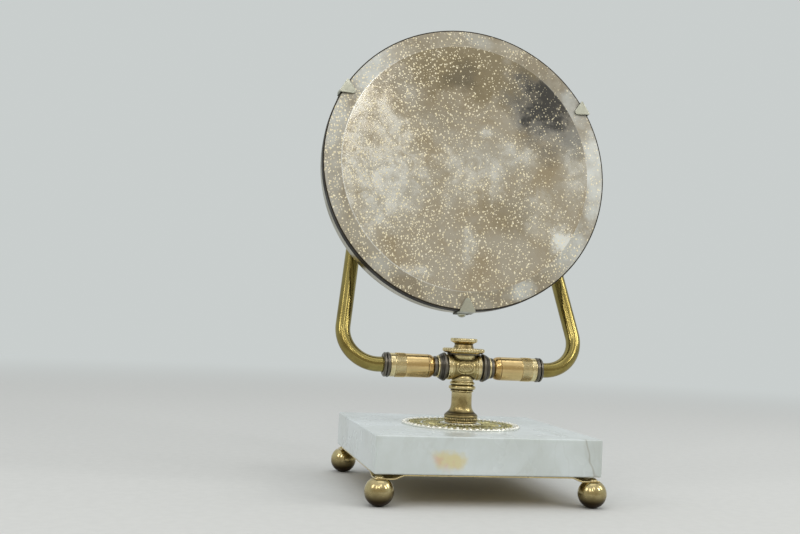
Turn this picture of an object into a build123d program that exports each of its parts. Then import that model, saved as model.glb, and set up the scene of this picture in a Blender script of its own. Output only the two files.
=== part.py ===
from build123d import *
import os
from math import cos, radians, sin

os.makedirs("parts", exist_ok=True)

# A table mirror: a round bevelled glass on a bent tube yoke, over a marble slab on ball feet.
# Millimetres. X runs across, Y runs back from the viewer, Z is up from the table top.

# Fits
fit_gap = 0.05  # radial play of a shaft, screw or tube in its hole
turn_gap = 0.05  # play between flat faces that turn on each other
free_gap = 0.3  # play round a rod that only passes through
touch_gap = 0.1  # play between a pressed strip and what it wraps

# Marble slab
slab_side = 152.4
slab_thick = 24.5
slab_corner = 1.6
slab_edge = 1.0

# Ball feet and the brass plate that they carry
ball_radius = 9.5
ball_flat = 0.2  # how much the ball is flattened where it stands
ball_top_cut = 1.8  # how much is cut off the top, for the seat
foot_inset = 4.7  # slab side to the middle of a foot
corner_drop = 2.4  # how far a plate corner is pressed down
plate_inset = 1.0
plate_thick = 1.0
tab_flat = 9.0  # length of the flat corner, along the diagonal
tab_ramp = 4.5  # length of the slope behind it
rivet_radius = 1.5
rivet_head_radius = 3.2
rivet_head_thick = 1.8
rivet_depth = 7.0

# Threaded rod that holds the column together
rod_radius = 4.8
rod_below = 7.0  # how far it stands out under the plate
nut_across = 19.0
nut_thick = 5.0
washer_radius = 13.0
washer_thick = 1.2

# Pierced plate on the slab
lace_radius = 42.5
lace_thick = 1.2
lace_rim_width = 2.4
lace_rim_height = 1.9
lace_boss_radius = 13.0
lace_petals = 24
lace_petal_length = 11.0
lace_petal_width = 4.4
lace_petal_circle = 21.5
lace_loops = 36
lace_loop_radius = 2.0
lace_loop_circle = 35.5

# Stem
stem_foot_radius = 12.1
stem_foot_height = 6.4
stem_wall = 2.2
stem_flare_height = 9.5
foot_bevel = 0.8
foot_bevel_height = 1.2
foot_shoulder = 0.9
flare_sag = 1.2  # how far the flare stands off the neck a quarter of the way up
stem_height = 22.0
collar_reach = 1.7  # how far the collar's bulge stands out of its neck
collar_wall = 2.8
collar_height = 7.3
collar_steps = (1.1, 2.2, 3.6, 4.4, 5.2, 6.3)  # heights where the collar's outline turns
collar_step_in = 0.7  # the upper ridge is this much smaller
swivel_washer_thick = 0.8

# Hub: a level barrel with stepped rings at each end
hub_wall = 1.5  # barrel over its spigots
hub_shoulder = 0.3  # barrel past its crown, at each end
hub_spigot_wall = 2.35
hub_seat_drop = 0.3  # how far the boss stands out under the barrel
hub_boss_wall = 2.95
hub_crown_wall = 4.15
hub_crown_rise = 0.4
band_width = 3.0
band_proud = 0.4
band_edge = 0.4
ring_width = 5.9
ring_proud = 1.4
ring_step_sink = 0.3
ring_step_width = 0.9
bead_rise = 0.5
bead_fall = 0.2
ring_taper = 1.2
trim_width = 1.3
trim_sink = 0.8
trim_edge = 0.3
brake_width = 2.7
brake_sink = 1.4
brake_edge = 0.7
nipple_radius = 4.8
nipple_wall = 1.6
nipple_start_gap = 1.7  # from the rod to a nipple's inner end
nipple_end_gap = 0.5  # from a nipple's outer end to the tube

# Clamp knob on top
spacer_wall = 7.05
spacer_thick = 1.0
flange_radius = 15.15
flange_thick = 3.5
flange_undercut = 1.6
flange_edge = 0.6
knob_neck_wall = 1.55
knob_neck_height = 3.3
knob_radius = 9.7
knob_rim_thick = 2.6
knob_height = 7.1
knob_edge = 0.6
knob_roof = 2.2  # metal left over the rod's end

# Yoke: sleeves on the hub axis, then bent tubes that lean back behind the glass
yoke_lean = 23.0
arm_lean_in = 8.0
yoke_half_width = 90.5  # where the arm lines would meet the hub axis
arm_length = 142.0  # hub axis to mirror pivot, along the arm
tube_radius = 5.4
tube_wall = 1.0
bend_radius = 25.0
tube_insert = 24.0  # length of tube inside its sleeve
sleeve_step = 0.8  # sleeve over its spigot
sleeve_nose_round = 2.0
sleeve_nose_length = 3.0
sleeve_nose_fall = 0.5  # how far the nose has drawn in, halfway along it
sleeve_length = 20.6
spigot_wall = 2.15
grip_width = 7.5
grip_proud = 0.25
grip_edge = 0.4
cap_width = 3.7
end_ring_width = 4.8
end_ring_proud = 0.45
end_ring_round = 1.0
ferrule_wall = 1.15
ferrule_length = 10.0
ferrule_roof = 2.0
ferrule_chamfer = 0.8
tongue_thick = 4.0
tongue_radius = 5.2
tongue_reach = 12.0  # pivot to the top of the ferrule
tongue_root = 0.5  # how far the tongue is sunk in the ferrule

# Mirror: glass in a thin ring, clipped to a shallow metal pan
mirror_lean = 8.55
glass_radius = 106.3
glass_thick = 5.0
bevel_width = 12.7
bevel_drop = 1.3
rim_wall = 0.8
rim_flange_width = 5.4
rim_flange_thick = 4.2
pan_set_in = 0.85  # rim to pan
pan_depth = 12.8
pan_wall = 1.0
pan_round = 2.5
board_set_in = 6.3  # pan to board
board_thick = 3.0
packing_set_in = 1.0  # board to packing

# Clips
clip_spacing = 120.0  # degrees between clips
clip_width = 11.4
clip_reach = 10.6
clip_thick = 1.2
clip_tip_round = 2.0
clip_sink = 0.3  # the lug lies this far below the glass face, on the bevel
clip_tail = 3.5  # strap past its screw
clip_screw_behind_rim = 6.0
clip_screw_radius = 1.5
clip_screw_head_radius = 3.2
clip_screw_head_thick = 2.5
clip_screw_inside = 1.2

# Mirror pivots
pivot_behind_pan = 24.8
pivot_below_centre = 10.5
bracket_half_foot = 14.0
bracket_thick = 1.6
ear_radius = 6.0
pivot_washer_thick = 0.75
pivot_washer_radius = 5.0
pivot_radius = 2.0
pivot_head_radius = 3.8
pivot_head_thick = 2.4
pivot_head_round = 0.8
pivot_nut_across = 7.0
pivot_nut_thick = 3.2
bracket_screw_spread = 10.0
bracket_screw_radius = 1.4
bracket_screw_head_radius = 2.4
bracket_screw_head_thick = 1.4
bracket_screw_inside = 1.0

# Across the base
foot_span = slab_side - 2 * foot_inset
plate_side = slab_side - 2 * plate_inset

# Radii up the column and along the hub axis
rod_hole = rod_radius + free_gap
rod_bearing = rod_radius + fit_gap
stem_neck_radius = rod_hole + stem_wall
collar_neck_radius = rod_hole + collar_wall
collar_radius = collar_neck_radius + collar_reach
hub_boss_radius = rod_bearing + hub_boss_wall
hub_crown_radius = rod_bearing + hub_crown_wall
hub_half_length = hub_crown_radius + hub_shoulder
spacer_radius = rod_bearing + spacer_wall
knob_neck_radius = rod_bearing + knob_neck_wall
nipple_hole = nipple_radius + fit_gap
hub_spigot_radius = nipple_hole + hub_spigot_wall
hub_radius = hub_spigot_radius + hub_wall
band_radius = hub_radius + band_proud
ring_radius = hub_radius + ring_proud
ring_step_radius = hub_radius - ring_step_sink
trim_radius = hub_radius - trim_sink
brake_radius = hub_radius - brake_sink
tube_hole = tube_radius + fit_gap
spigot_radius = tube_hole + spigot_wall
sleeve_radius = spigot_radius + sleeve_step
grip_radius = sleeve_radius + grip_proud
end_ring_radius = sleeve_radius + end_ring_proud
ferrule_radius = tube_hole + ferrule_wall

# Heights up the column
seat_height = 2 * ball_radius - ball_flat - ball_top_cut
plate_bottom = seat_height + corner_drop
plate_top = plate_bottom + plate_thick
slab_top = plate_top + slab_thick
lace_top = slab_top + lace_rim_height
collar_bottom = lace_top + stem_height
collar_top = collar_bottom + collar_height
hub_seat = collar_top + swivel_washer_thick + turn_gap
hub_height = hub_seat + hub_seat_drop + hub_radius
crown_top = hub_height + hub_radius + hub_crown_rise
spacer_top = crown_top + spacer_thick
flange_bottom = spacer_top + turn_gap
flange_top = flange_bottom + flange_thick
knob_top = flange_top + knob_height
rod_bottom = plate_bottom - rod_below
rod_top = knob_top - knob_roof

# Stations along the hub axis, measured out from the middle
band_end = hub_half_length + band_width
bead_start = band_end + ring_step_width
ring_end = band_end + ring_width
trim_end = ring_end + trim_width
brake_end = trim_end + brake_width
sleeve_start = brake_end + turn_gap
grip_start = sleeve_start + sleeve_length
grip_end = grip_start + grip_width
cap_end = grip_end + cap_width
end_ring_end = cap_end + end_ring_width
tube_start = cap_end - tube_insert

# Mirror depths, measured back from the glass face
rim_outer = glass_radius + rim_wall + fit_gap
rim_depth = glass_thick + rim_flange_thick
pan_back = rim_depth + pan_depth
pan_radius = rim_outer - pan_set_in
board_radius = pan_radius - board_set_in
packing_radius = board_radius - packing_set_in
clip_screw_depth = rim_depth + clip_screw_behind_rim
clip_face = pan_radius + touch_gap + clip_thick
strap_face = rim_outer + touch_gap + clip_thick

# Pivot point and the mirror's own plane: x across, y up the glass, z out of its face
lean = radians(yoke_lean)
tilt = radians(mirror_lean)
lean_in = radians(arm_lean_in)
pivot_x = yoke_half_width - arm_length * sin(lean_in)
pivot_y = arm_length * cos(lean_in) * sin(lean)
pivot_z = hub_height + arm_length * cos(lean_in) * cos(lean)
pivot_depth = pan_back + pivot_behind_pan
mirror_y = pivot_y + pivot_below_centre * sin(tilt) - pivot_depth * cos(tilt)
mirror_z = pivot_z + pivot_below_centre * cos(tilt) + pivot_depth * sin(tilt)
mirror_plane = Plane(
    origin=(0, mirror_y, mirror_z), x_dir=(1, 0, 0), z_dir=(0, -cos(tilt), sin(tilt))
)
hub_axis = Axis((0, 0, hub_height), (1, 0, 0))
sides = (("left", -1), ("right", 1))


def write_part(piece, label):
    piece.part.label = label
    export_step(piece.part, f"parts/{label}.step")


def turned_upright(outline):
    """A turned piece on the stem axis, from points of radius and height."""
    with BuildPart() as piece:
        with BuildSketch(Plane.XZ):
            with BuildLine():
                Polyline(*outline, close=True)
            make_face()
        revolve(axis=Axis.Z)
    return piece


def turned_on_hub(side, outline):
    """A turned piece on the hub axis, from points of distance out and radius."""
    with BuildPart() as piece:
        with BuildSketch(Plane.XZ):
            with BuildLine():
                points = [(side * out, hub_height + radius) for out, radius in outline]
                Polyline(*points, close=True)
            make_face()
        revolve(axis=hub_axis)
    return piece


def turned_on_mirror(outline):
    """A turned piece on the glass axis, from points of radius and depth behind the face."""
    section = Plane(
        origin=mirror_plane.origin, x_dir=mirror_plane.x_dir, z_dir=-mirror_plane.y_dir
    )
    with BuildPart() as piece:
        with BuildSketch(section):
            with BuildLine():
                Polyline(*[(radius, -depth) for radius, depth in outline], close=True)
            make_face()
        revolve(axis=Axis(mirror_plane.origin, mirror_plane.z_dir))
    return piece


def arm_point(side, along):
    """A point on an arm's centre line, at a distance along it from the hub axis."""
    across = yoke_half_width - along * sin(lean_in)
    up = along * cos(lean_in)
    return (side * across, up * sin(lean), hub_height + up * cos(lean))


def clip_plane(turn):
    """The mirror's plane turned about the glass axis, so that a clip lies at its bottom."""
    angle = radians(turn)
    across = mirror_plane.x_dir * cos(angle) + mirror_plane.y_dir * sin(angle)
    return Plane(mirror_plane.origin, x_dir=across, z_dir=mirror_plane.z_dir)


def clip_screw_plane(turn, radius):
    """A plane across a clip's screw, facing out from the glass axis."""
    plane = clip_plane(turn)
    point = plane.from_local_coords((0, -radius, -clip_screw_depth))
    return Plane(point, z_dir=-plane.y_dir)


# ---- Base ----

foot_spots = GridLocations(foot_span, foot_span, 2, 2)

with BuildPart() as marble_slab:
    with BuildSketch(Plane.XY.offset(plate_top)):
        RectangleRounded(slab_side, slab_side, slab_corner)
        Circle(rod_hole, mode=Mode.SUBTRACT)
    extrude(amount=slab_thick)
    top_face = marble_slab.faces().sort_by(Axis.Z)[-1]
    fillet(top_face.outer_wire().edges(), slab_edge)
write_part(marble_slab, "marble_slab")

# The plate's corners are pressed down along a fold, square to the diagonal.
corner_reach = plate_side / 2**0.5
tab_start = corner_reach - tab_flat
ramp_start = tab_start - tab_ramp
with BuildPart() as base_plate:
    with BuildSketch(Plane.XY.offset(plate_bottom)):
        Rectangle(plate_side, plate_side)
        Rectangle(2 * ramp_start, 2 * ramp_start, rotation=45, mode=Mode.INTERSECT)
    extrude(amount=plate_thick)
    for turn in (45, 135, 225, 315):
        across, along = cos(radians(turn)), sin(radians(turn))
        with BuildSketch(Plane((0, 0, 0), x_dir=(across, along, 0), z_dir=(along, -across, 0))):
            with BuildLine():
                Polyline(
                    (ramp_start, plate_bottom),
                    (tab_start, seat_height),
                    (corner_reach, seat_height),
                    (corner_reach, seat_height + plate_thick),
                    (tab_start, seat_height + plate_thick),
                    (ramp_start, plate_top),
                    close=True,
                )
            make_face()
        extrude(amount=tab_flat + tab_ramp, both=True)
    with BuildSketch():
        Rectangle(plate_side, plate_side)
    extrude(amount=plate_top, mode=Mode.INTERSECT)
    with BuildSketch():
        Circle(rod_hole)
        with foot_spots:
            Circle(rivet_radius + fit_gap)
    extrude(amount=plate_top, mode=Mode.SUBTRACT)
write_part(base_plate, "base_plate")

for depth_name, depth_side in (("front", -1), ("back", 1)):
    for side_name, side in sides:
        foot_x = side * foot_span / 2
        foot_y = depth_side * foot_span / 2
        with BuildPart() as ball_foot:
            with Locations((foot_x, foot_y, ball_radius - ball_flat)):
                Sphere(ball_radius)
            split(bisect_by=Plane.XY, keep=Keep.TOP)
            split(bisect_by=Plane.XY.offset(seat_height), keep=Keep.BOTTOM)
            with BuildSketch(Plane.XY.offset(seat_height)):
                with Locations((foot_x, foot_y)):
                    Circle(rivet_radius + fit_gap)
            extrude(amount=-rivet_depth, mode=Mode.SUBTRACT)
        write_part(ball_foot, f"foot_{depth_name}_{side_name}")

with BuildPart() as foot_rivets:
    with BuildSketch(Plane.XY.offset(seat_height + plate_thick)):
        with foot_spots:
            Circle(rivet_head_radius)
    extrude(amount=rivet_head_thick)
    with BuildSketch(Plane.XY.offset(seat_height + plate_thick)):
        with foot_spots:
            Circle(rivet_radius)
    extrude(amount=-(plate_thick + rivet_depth - free_gap))
write_part(foot_rivets, "foot_rivets")

base_washer = turned_upright([
    (rod_hole, plate_bottom),
    (washer_radius, plate_bottom),
    (washer_radius, plate_bottom - washer_thick),
    (rod_hole, plate_bottom - washer_thick),
])
write_part(base_washer, "base_washer")

with BuildPart() as base_nut:
    with BuildSketch(Plane.XY.offset(plate_bottom - washer_thick)):
        RegularPolygon(nut_across / 2, 6, major_radius=False)
        Circle(rod_bearing, mode=Mode.SUBTRACT)
    extrude(amount=-nut_thick)
write_part(base_nut, "base_nut")

with BuildPart() as threaded_rod:
    with BuildSketch(Plane.XY.offset(rod_bottom)):
        Circle(rod_radius)
    extrude(amount=rod_top - rod_bottom)
write_part(threaded_rod, "threaded_rod")

# Pierced plate: a ring of petals inside a ring of loops, between a boss and a raised rim.
with BuildPart() as filigree_plate:
    with BuildSketch(Plane.XY.offset(slab_top)):
        Circle(lace_radius)
        Circle(rod_hole, mode=Mode.SUBTRACT)
        with PolarLocations(lace_petal_circle, lace_petals):
            Ellipse(lace_petal_length / 2, lace_petal_width / 2, mode=Mode.SUBTRACT)
        with PolarLocations(lace_loop_circle, lace_loops):
            Circle(lace_loop_radius, mode=Mode.SUBTRACT)
    extrude(amount=lace_thick)
    with BuildSketch(Plane.XY.offset(slab_top)):
        Circle(lace_radius)
        Circle(lace_radius - lace_rim_width, mode=Mode.SUBTRACT)
        Circle(lace_boss_radius)
        Circle(rod_hole, mode=Mode.SUBTRACT)
    extrude(amount=lace_rim_height)
write_part(filigree_plate, "filigree_plate")

with BuildPart() as stem:
    bead_top = lace_top + stem_foot_height
    with BuildSketch(Plane.XZ):
        with BuildLine():
            Polyline(
                (stem_neck_radius, bead_top + stem_flare_height),
                (stem_neck_radius, collar_bottom),
                (rod_hole, collar_bottom),
                (rod_hole, lace_top),
                (stem_foot_radius - foot_bevel, lace_top),
                (stem_foot_radius, lace_top + foot_bevel_height),
                (stem_foot_radius, bead_top - foot_bevel_height),
                (stem_foot_radius - foot_shoulder, bead_top),
            )
            Bezier(
                (stem_foot_radius - foot_shoulder, bead_top),
                (stem_neck_radius + flare_sag, bead_top + stem_flare_height / 4),
                (stem_neck_radius, bead_top + stem_flare_height / 2),
                (stem_neck_radius, bead_top + stem_flare_height),
            )
        make_face()
    revolve(axis=Axis.Z)
write_part(stem, "stem")

stem_collar = turned_upright([
    (rod_hole, collar_bottom),
    (collar_neck_radius, collar_bottom),
    (collar_neck_radius, collar_bottom + collar_steps[0]),
    (collar_radius, collar_bottom + collar_steps[1]),
    (collar_radius, collar_bottom + collar_steps[2]),
    (collar_neck_radius, collar_bottom + collar_steps[3]),
    (collar_radius - collar_step_in, collar_bottom + collar_steps[4]),
    (collar_radius - collar_step_in, collar_bottom + collar_steps[5]),
    (collar_neck_radius, collar_top),
    (rod_hole, collar_top),
])
write_part(stem_collar, "stem_collar")

swivel_washer = turned_upright([
    (rod_hole, collar_top),
    (hub_boss_radius, collar_top),
    (hub_boss_radius, collar_top + swivel_washer_thick),
    (rod_hole, collar_top + swivel_washer_thick),
])
write_part(swivel_washer, "swivel_washer")

# ---- Hub ----

with BuildPart() as hub_body:
    for radius, half_length in ((hub_radius, hub_half_length), (hub_spigot_radius, ring_end)):
        with BuildSketch(Plane.YZ):
            with Locations((0, hub_height)):
                Circle(radius)
        extrude(amount=half_length, both=True)
    with BuildSketch(Plane.XY.offset(hub_seat)):
        Circle(hub_boss_radius)
    extrude(amount=hub_height - hub_seat)
    with BuildSketch(Plane.XY.offset(hub_height)):
        Circle(hub_crown_radius)
    extrude(amount=crown_top - hub_height)
    with BuildSketch(Plane.XY.offset(hub_seat)):
        Circle(rod_bearing)
    extrude(amount=crown_top - hub_seat, mode=Mode.SUBTRACT)
    with BuildSketch(Plane.YZ):
        with Locations((0, hub_height)):
            Circle(nipple_hole)
    extrude(amount=ring_end, both=True, mode=Mode.SUBTRACT)
write_part(hub_body, "hub_body")

for side_name, side in sides:
    hub_bore = hub_spigot_radius + fit_gap
    hub_band = turned_on_hub(side, [
        (hub_half_length, hub_bore),
        (hub_half_length, band_radius - band_edge),
        (hub_half_length + band_edge, band_radius),
        (band_end - band_edge, band_radius),
        (band_end, band_radius - band_edge),
        (band_end, hub_bore),
    ])
    write_part(hub_band, f"hub_band_{side_name}")

    hub_ring = turned_on_hub(side, [
        (band_end, hub_bore),
        (band_end, ring_step_radius),
        (bead_start, ring_step_radius),
        (bead_start + bead_rise, ring_radius - bead_rise),
        (bead_start + 2 * bead_rise, ring_radius),
        (bead_start + 4 * bead_rise, ring_radius - bead_fall),
        (ring_end - ring_taper, ring_step_radius + bead_rise),
        (ring_end, ring_step_radius - bead_fall),
        (ring_end, hub_bore),
    ])
    write_part(hub_ring, f"hub_ring_{side_name}")

    hub_trim = turned_on_hub(side, [
        (ring_end, nipple_hole),
        (ring_end, trim_radius - trim_edge),
        (ring_end + trim_edge, trim_radius),
        (trim_end - trim_edge, trim_radius),
        (trim_end, trim_radius - trim_edge),
        (trim_end, nipple_hole),
    ])
    write_part(hub_trim, f"hub_trim_{side_name}")

    brake_washer = turned_on_hub(side, [
        (trim_end, nipple_hole),
        (trim_end, brake_radius - brake_edge),
        (trim_end + brake_edge, brake_radius),
        (brake_end - brake_edge, brake_radius),
        (brake_end, brake_radius - brake_edge),
        (brake_end, nipple_hole),
    ])
    write_part(brake_washer, f"brake_washer_{side_name}")

    nipple_start = rod_bearing + nipple_start_gap
    nipple_end = tube_start - nipple_end_gap
    nipple_bore = nipple_radius - nipple_wall
    nipple = turned_on_hub(side, [
        (nipple_start, nipple_bore),
        (nipple_start, nipple_radius),
        (nipple_end, nipple_radius),
        (nipple_end, nipple_bore),
    ])
    write_part(nipple, f"nipple_{side_name}")

spacer = turned_upright([
    (rod_bearing, crown_top),
    (spacer_radius, crown_top),
    (spacer_radius, spacer_top),
    (rod_bearing, spacer_top),
])
write_part(spacer, "spacer")

# ---- Clamp knob ----

clamp_flange = turned_upright([
    (rod_bearing, flange_bottom),
    (flange_radius - flange_undercut, flange_bottom),
    (flange_radius - flange_edge, flange_bottom + flange_edge),
    (flange_radius, flange_bottom + flange_undercut),
    (flange_radius, flange_top - flange_edge),
    (flange_radius - flange_edge, flange_top),
    (rod_bearing, flange_top),
])
write_part(clamp_flange, "clamp_flange")

knob_rim_bottom = knob_top - knob_rim_thick
clamp_knob = turned_upright([
    (rod_bearing, flange_top),
    (knob_neck_radius + knob_edge, flange_top),
    (knob_neck_radius, flange_top + knob_edge),
    (knob_neck_radius, flange_top + knob_neck_height - knob_edge),
    (knob_neck_radius + 2 * knob_edge, flange_top + knob_neck_height),
    (knob_radius - knob_edge, knob_rim_bottom),
    (knob_radius, knob_rim_bottom + knob_edge),
    (knob_radius, knob_top - knob_edge),
    (knob_radius - knob_edge, knob_top),
    (0, knob_top),
    (0, rod_top + free_gap),
    (rod_bearing, rod_top + free_gap),
])
write_part(clamp_knob, "clamp_knob")

# ---- Yoke ----

for side_name, side in sides:
    sleeve = turned_on_hub(side, [
        (sleeve_start, nipple_hole),
        (sleeve_start, sleeve_radius - sleeve_nose_round),
        (sleeve_start + sleeve_nose_length / 2, sleeve_radius - sleeve_nose_fall),
        (sleeve_start + sleeve_nose_length, sleeve_radius),
        (grip_start, sleeve_radius),
        (grip_start, spigot_radius),
        (cap_end, spigot_radius),
        (cap_end, tube_hole),
        (tube_start, tube_hole),
        (tube_start, nipple_hole),
    ])
    write_part(sleeve, f"sleeve_{side_name}")

    spigot_hole = spigot_radius + fit_gap
    grip_band = turned_on_hub(side, [
        (grip_start, spigot_hole),
        (grip_start, grip_radius - grip_proud),
        (grip_start + grip_edge, grip_radius),
        (grip_end - grip_edge, grip_radius),
        (grip_end, grip_radius - grip_proud),
        (grip_end, spigot_hole),
    ])
    write_part(grip_band, f"grip_band_{side_name}")

    sleeve_cap = turned_on_hub(side, [
        (grip_end, spigot_hole),
        (grip_end, sleeve_radius),
        (cap_end, sleeve_radius),
        (cap_end, spigot_hole),
    ])
    write_part(sleeve_cap, f"sleeve_cap_{side_name}")

    end_ring = turned_on_hub(side, [
        (cap_end, tube_hole),
        (cap_end, end_ring_radius - end_ring_round),
        (cap_end + end_ring_round, end_ring_radius),
        (end_ring_end - end_ring_round, end_ring_radius),
        (end_ring_end, end_ring_radius - end_ring_round),
        (end_ring_end, tube_hole),
    ])
    write_part(end_ring, f"end_ring_{side_name}")

    # Tube: level out of the sleeve, one bend, then straight up the yoke.
    tube_end = arm_length - tongue_reach - ferrule_roof
    with BuildPart() as arm:
        with BuildLine() as route:
            FilletPolyline(
                (side * tube_start, 0, hub_height),
                arm_point(side, 0),
                arm_point(side, tube_end),
                radius=bend_radius,
            )
        with BuildSketch(Plane((side * tube_start, 0, hub_height), z_dir=(side, 0, 0))):
            Circle(tube_radius)
            Circle(tube_radius - tube_wall, mode=Mode.SUBTRACT)
        sweep(path=route.wire())
    write_part(arm, f"arm_{side_name}")

    # Tip: a ferrule over the tube's end, with a flat tongue for the pivot screw.
    arm_direction = Vector(*arm_point(side, 1)) - Vector(*arm_point(side, 0))
    ferrule_start = tube_end + ferrule_roof - ferrule_length
    pivot = arm_point(side, arm_length)
    with BuildPart() as arm_tip:
        with BuildSketch(Plane(arm_point(side, ferrule_start), z_dir=arm_direction)):
            Circle(ferrule_radius)
        extrude(amount=ferrule_length)
        chamfer(arm_tip.faces().sort_by(Axis(pivot, arm_direction))[-1].edges(), ferrule_chamfer)
        with BuildSketch(Plane(pivot, x_dir=(0, cos(lean), -sin(lean)), z_dir=(1, 0, 0))):
            Circle(tongue_radius)
            with Locations((0, -(tongue_reach + tongue_root) / 2)):
                Rectangle(2 * tongue_radius, tongue_reach + tongue_root)
        extrude(amount=tongue_thick / 2, both=True)
        with BuildSketch(Plane(pivot, x_dir=(0, 1, 0), z_dir=(1, 0, 0))):
            Circle(pivot_radius + fit_gap)
        extrude(amount=tongue_thick, both=True, mode=Mode.SUBTRACT)
        with BuildSketch(Plane(arm_point(side, ferrule_start), z_dir=arm_direction)):
            Circle(tube_hole)
        extrude(amount=ferrule_length - ferrule_roof, mode=Mode.SUBTRACT)
    write_part(arm_tip, f"arm_tip_{side_name}")

# ---- Mirror ----

mirror_glass = turned_on_mirror([
    (0, 0),
    (glass_radius - bevel_width, 0),
    (glass_radius, bevel_drop),
    (glass_radius, glass_thick),
    (0, glass_thick),
])
write_part(mirror_glass, "mirror_glass")

mirror_rim = turned_on_mirror([
    (glass_radius + fit_gap, bevel_drop),
    (rim_outer, bevel_drop),
    (rim_outer, rim_depth),
    (glass_radius - rim_flange_width, rim_depth),
    (glass_radius - rim_flange_width, glass_thick),
    (glass_radius + fit_gap, glass_thick),
])
write_part(mirror_rim, "mirror_rim")

backing_board = turned_on_mirror([
    (0, glass_thick),
    (board_radius, glass_thick),
    (board_radius, glass_thick + board_thick),
    (0, glass_thick + board_thick),
])
write_part(backing_board, "backing_board")

clip_turns = {"clip_bottom": 0, "clip_top_right": clip_spacing, "clip_top_left": -clip_spacing}
bracket_spots = [(side * pivot_x, up * bracket_screw_spread - pivot_below_centre)
                 for _, side in sides for up in (-1, 1)]

with BuildPart() as packing_disc:
    with BuildSketch(mirror_plane.offset(-(glass_thick + board_thick))):
        Circle(packing_radius)
    extrude(amount=-(pan_back - pan_wall - glass_thick - board_thick))
    with BuildSketch(mirror_plane.offset(-(pan_back - pan_wall))):
        with Locations(*bracket_spots):
            Circle(bracket_screw_radius + free_gap)
    extrude(amount=bracket_screw_inside + free_gap, mode=Mode.SUBTRACT)
write_part(packing_disc, "packing_disc")

with BuildPart() as back_pan:
    with BuildSketch(mirror_plane.offset(-rim_depth)):
        Circle(pan_radius)
    extrude(amount=-pan_depth)
    back_rim = back_pan.edges().sort_by(Axis(mirror_plane.origin, mirror_plane.z_dir))[0]
    fillet(back_rim, pan_round)
    with BuildSketch(mirror_plane.offset(-rim_depth)):
        Circle(pan_radius - pan_wall)
    extrude(amount=-(pan_depth - pan_wall), mode=Mode.SUBTRACT)
    inner_rim = back_pan.edges().filter_by(GeomType.CIRCLE)
    inner_rim = inner_rim.filter_by(lambda edge: abs(edge.radius - pan_radius + pan_wall) < 0.01)
    fillet(inner_rim.sort_by(Axis(mirror_plane.origin, mirror_plane.z_dir))[0],
           pan_round - pan_wall)
    with BuildSketch(mirror_plane.offset(-pan_back)):
        with Locations(*bracket_spots):
            Circle(bracket_screw_radius + fit_gap)
    extrude(amount=pan_wall, mode=Mode.SUBTRACT)
    for turn in clip_turns.values():
        with BuildSketch(clip_screw_plane(turn, pan_radius)):
            Circle(clip_screw_radius + fit_gap)
        extrude(amount=2 * pan_wall, both=True, mode=Mode.SUBTRACT)
write_part(back_pan, "back_pan")

for clip_name, turn in clip_turns.items():
    lug_plane = clip_plane(turn)
    strap_plane = Plane(lug_plane.origin, x_dir=-lug_plane.y_dir, z_dir=lug_plane.x_dir)
    strap_top = clip_thick - clip_sink
    shoulder = rim_depth + touch_gap
    with BuildPart() as clip:
        with BuildSketch(lug_plane.offset(-clip_sink)) as lug:
            with BuildLine():
                Polyline(
                    (-clip_width / 2, -strap_face),
                    (clip_width / 2, -strap_face),
                    (clip_width / 2, -(strap_face - clip_thick)),
                    (0, -(strap_face - clip_reach - clip_tip_round)),
                    (-clip_width / 2, -(strap_face - clip_thick)),
                    close=True,
                )
            make_face()
            fillet(lug.vertices().sort_by(Axis.Y)[-1], clip_tip_round)
        extrude(amount=clip_thick)
        # Local X is out from the glass axis and local Y points back into the room behind.
        with BuildSketch(strap_plane):
            with BuildLine():
                Polyline(
                    (strap_face - clip_thick, -strap_top),
                    (strap_face, -strap_top),
                    (strap_face, shoulder + clip_thick),
                    (clip_face, shoulder + clip_thick),
                    (clip_face, clip_screw_depth + clip_tail),
                    (clip_face - clip_thick, clip_screw_depth + clip_tail),
                    (clip_face - clip_thick, shoulder),
                    (strap_face - clip_thick, shoulder),
                    close=True,
                )
            make_face()
        extrude(amount=clip_width / 2, both=True)
        with BuildSketch(clip_screw_plane(turn, clip_face)):
            Circle(clip_screw_radius + fit_gap)
        extrude(amount=2 * clip_thick, both=True, mode=Mode.SUBTRACT)
    write_part(clip, clip_name)

with BuildPart() as clip_screws:
    for turn in clip_turns.values():
        with BuildSketch(clip_screw_plane(turn, clip_face)):
            Circle(clip_screw_head_radius)
        extrude(amount=clip_screw_head_thick)
        with BuildSketch(clip_screw_plane(turn, clip_face)):
            Circle(clip_screw_radius)
        extrude(amount=-(clip_thick + touch_gap + pan_wall + clip_screw_inside))
write_part(clip_screws, "clip_screws")

# ---- Mirror pivots ----

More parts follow.
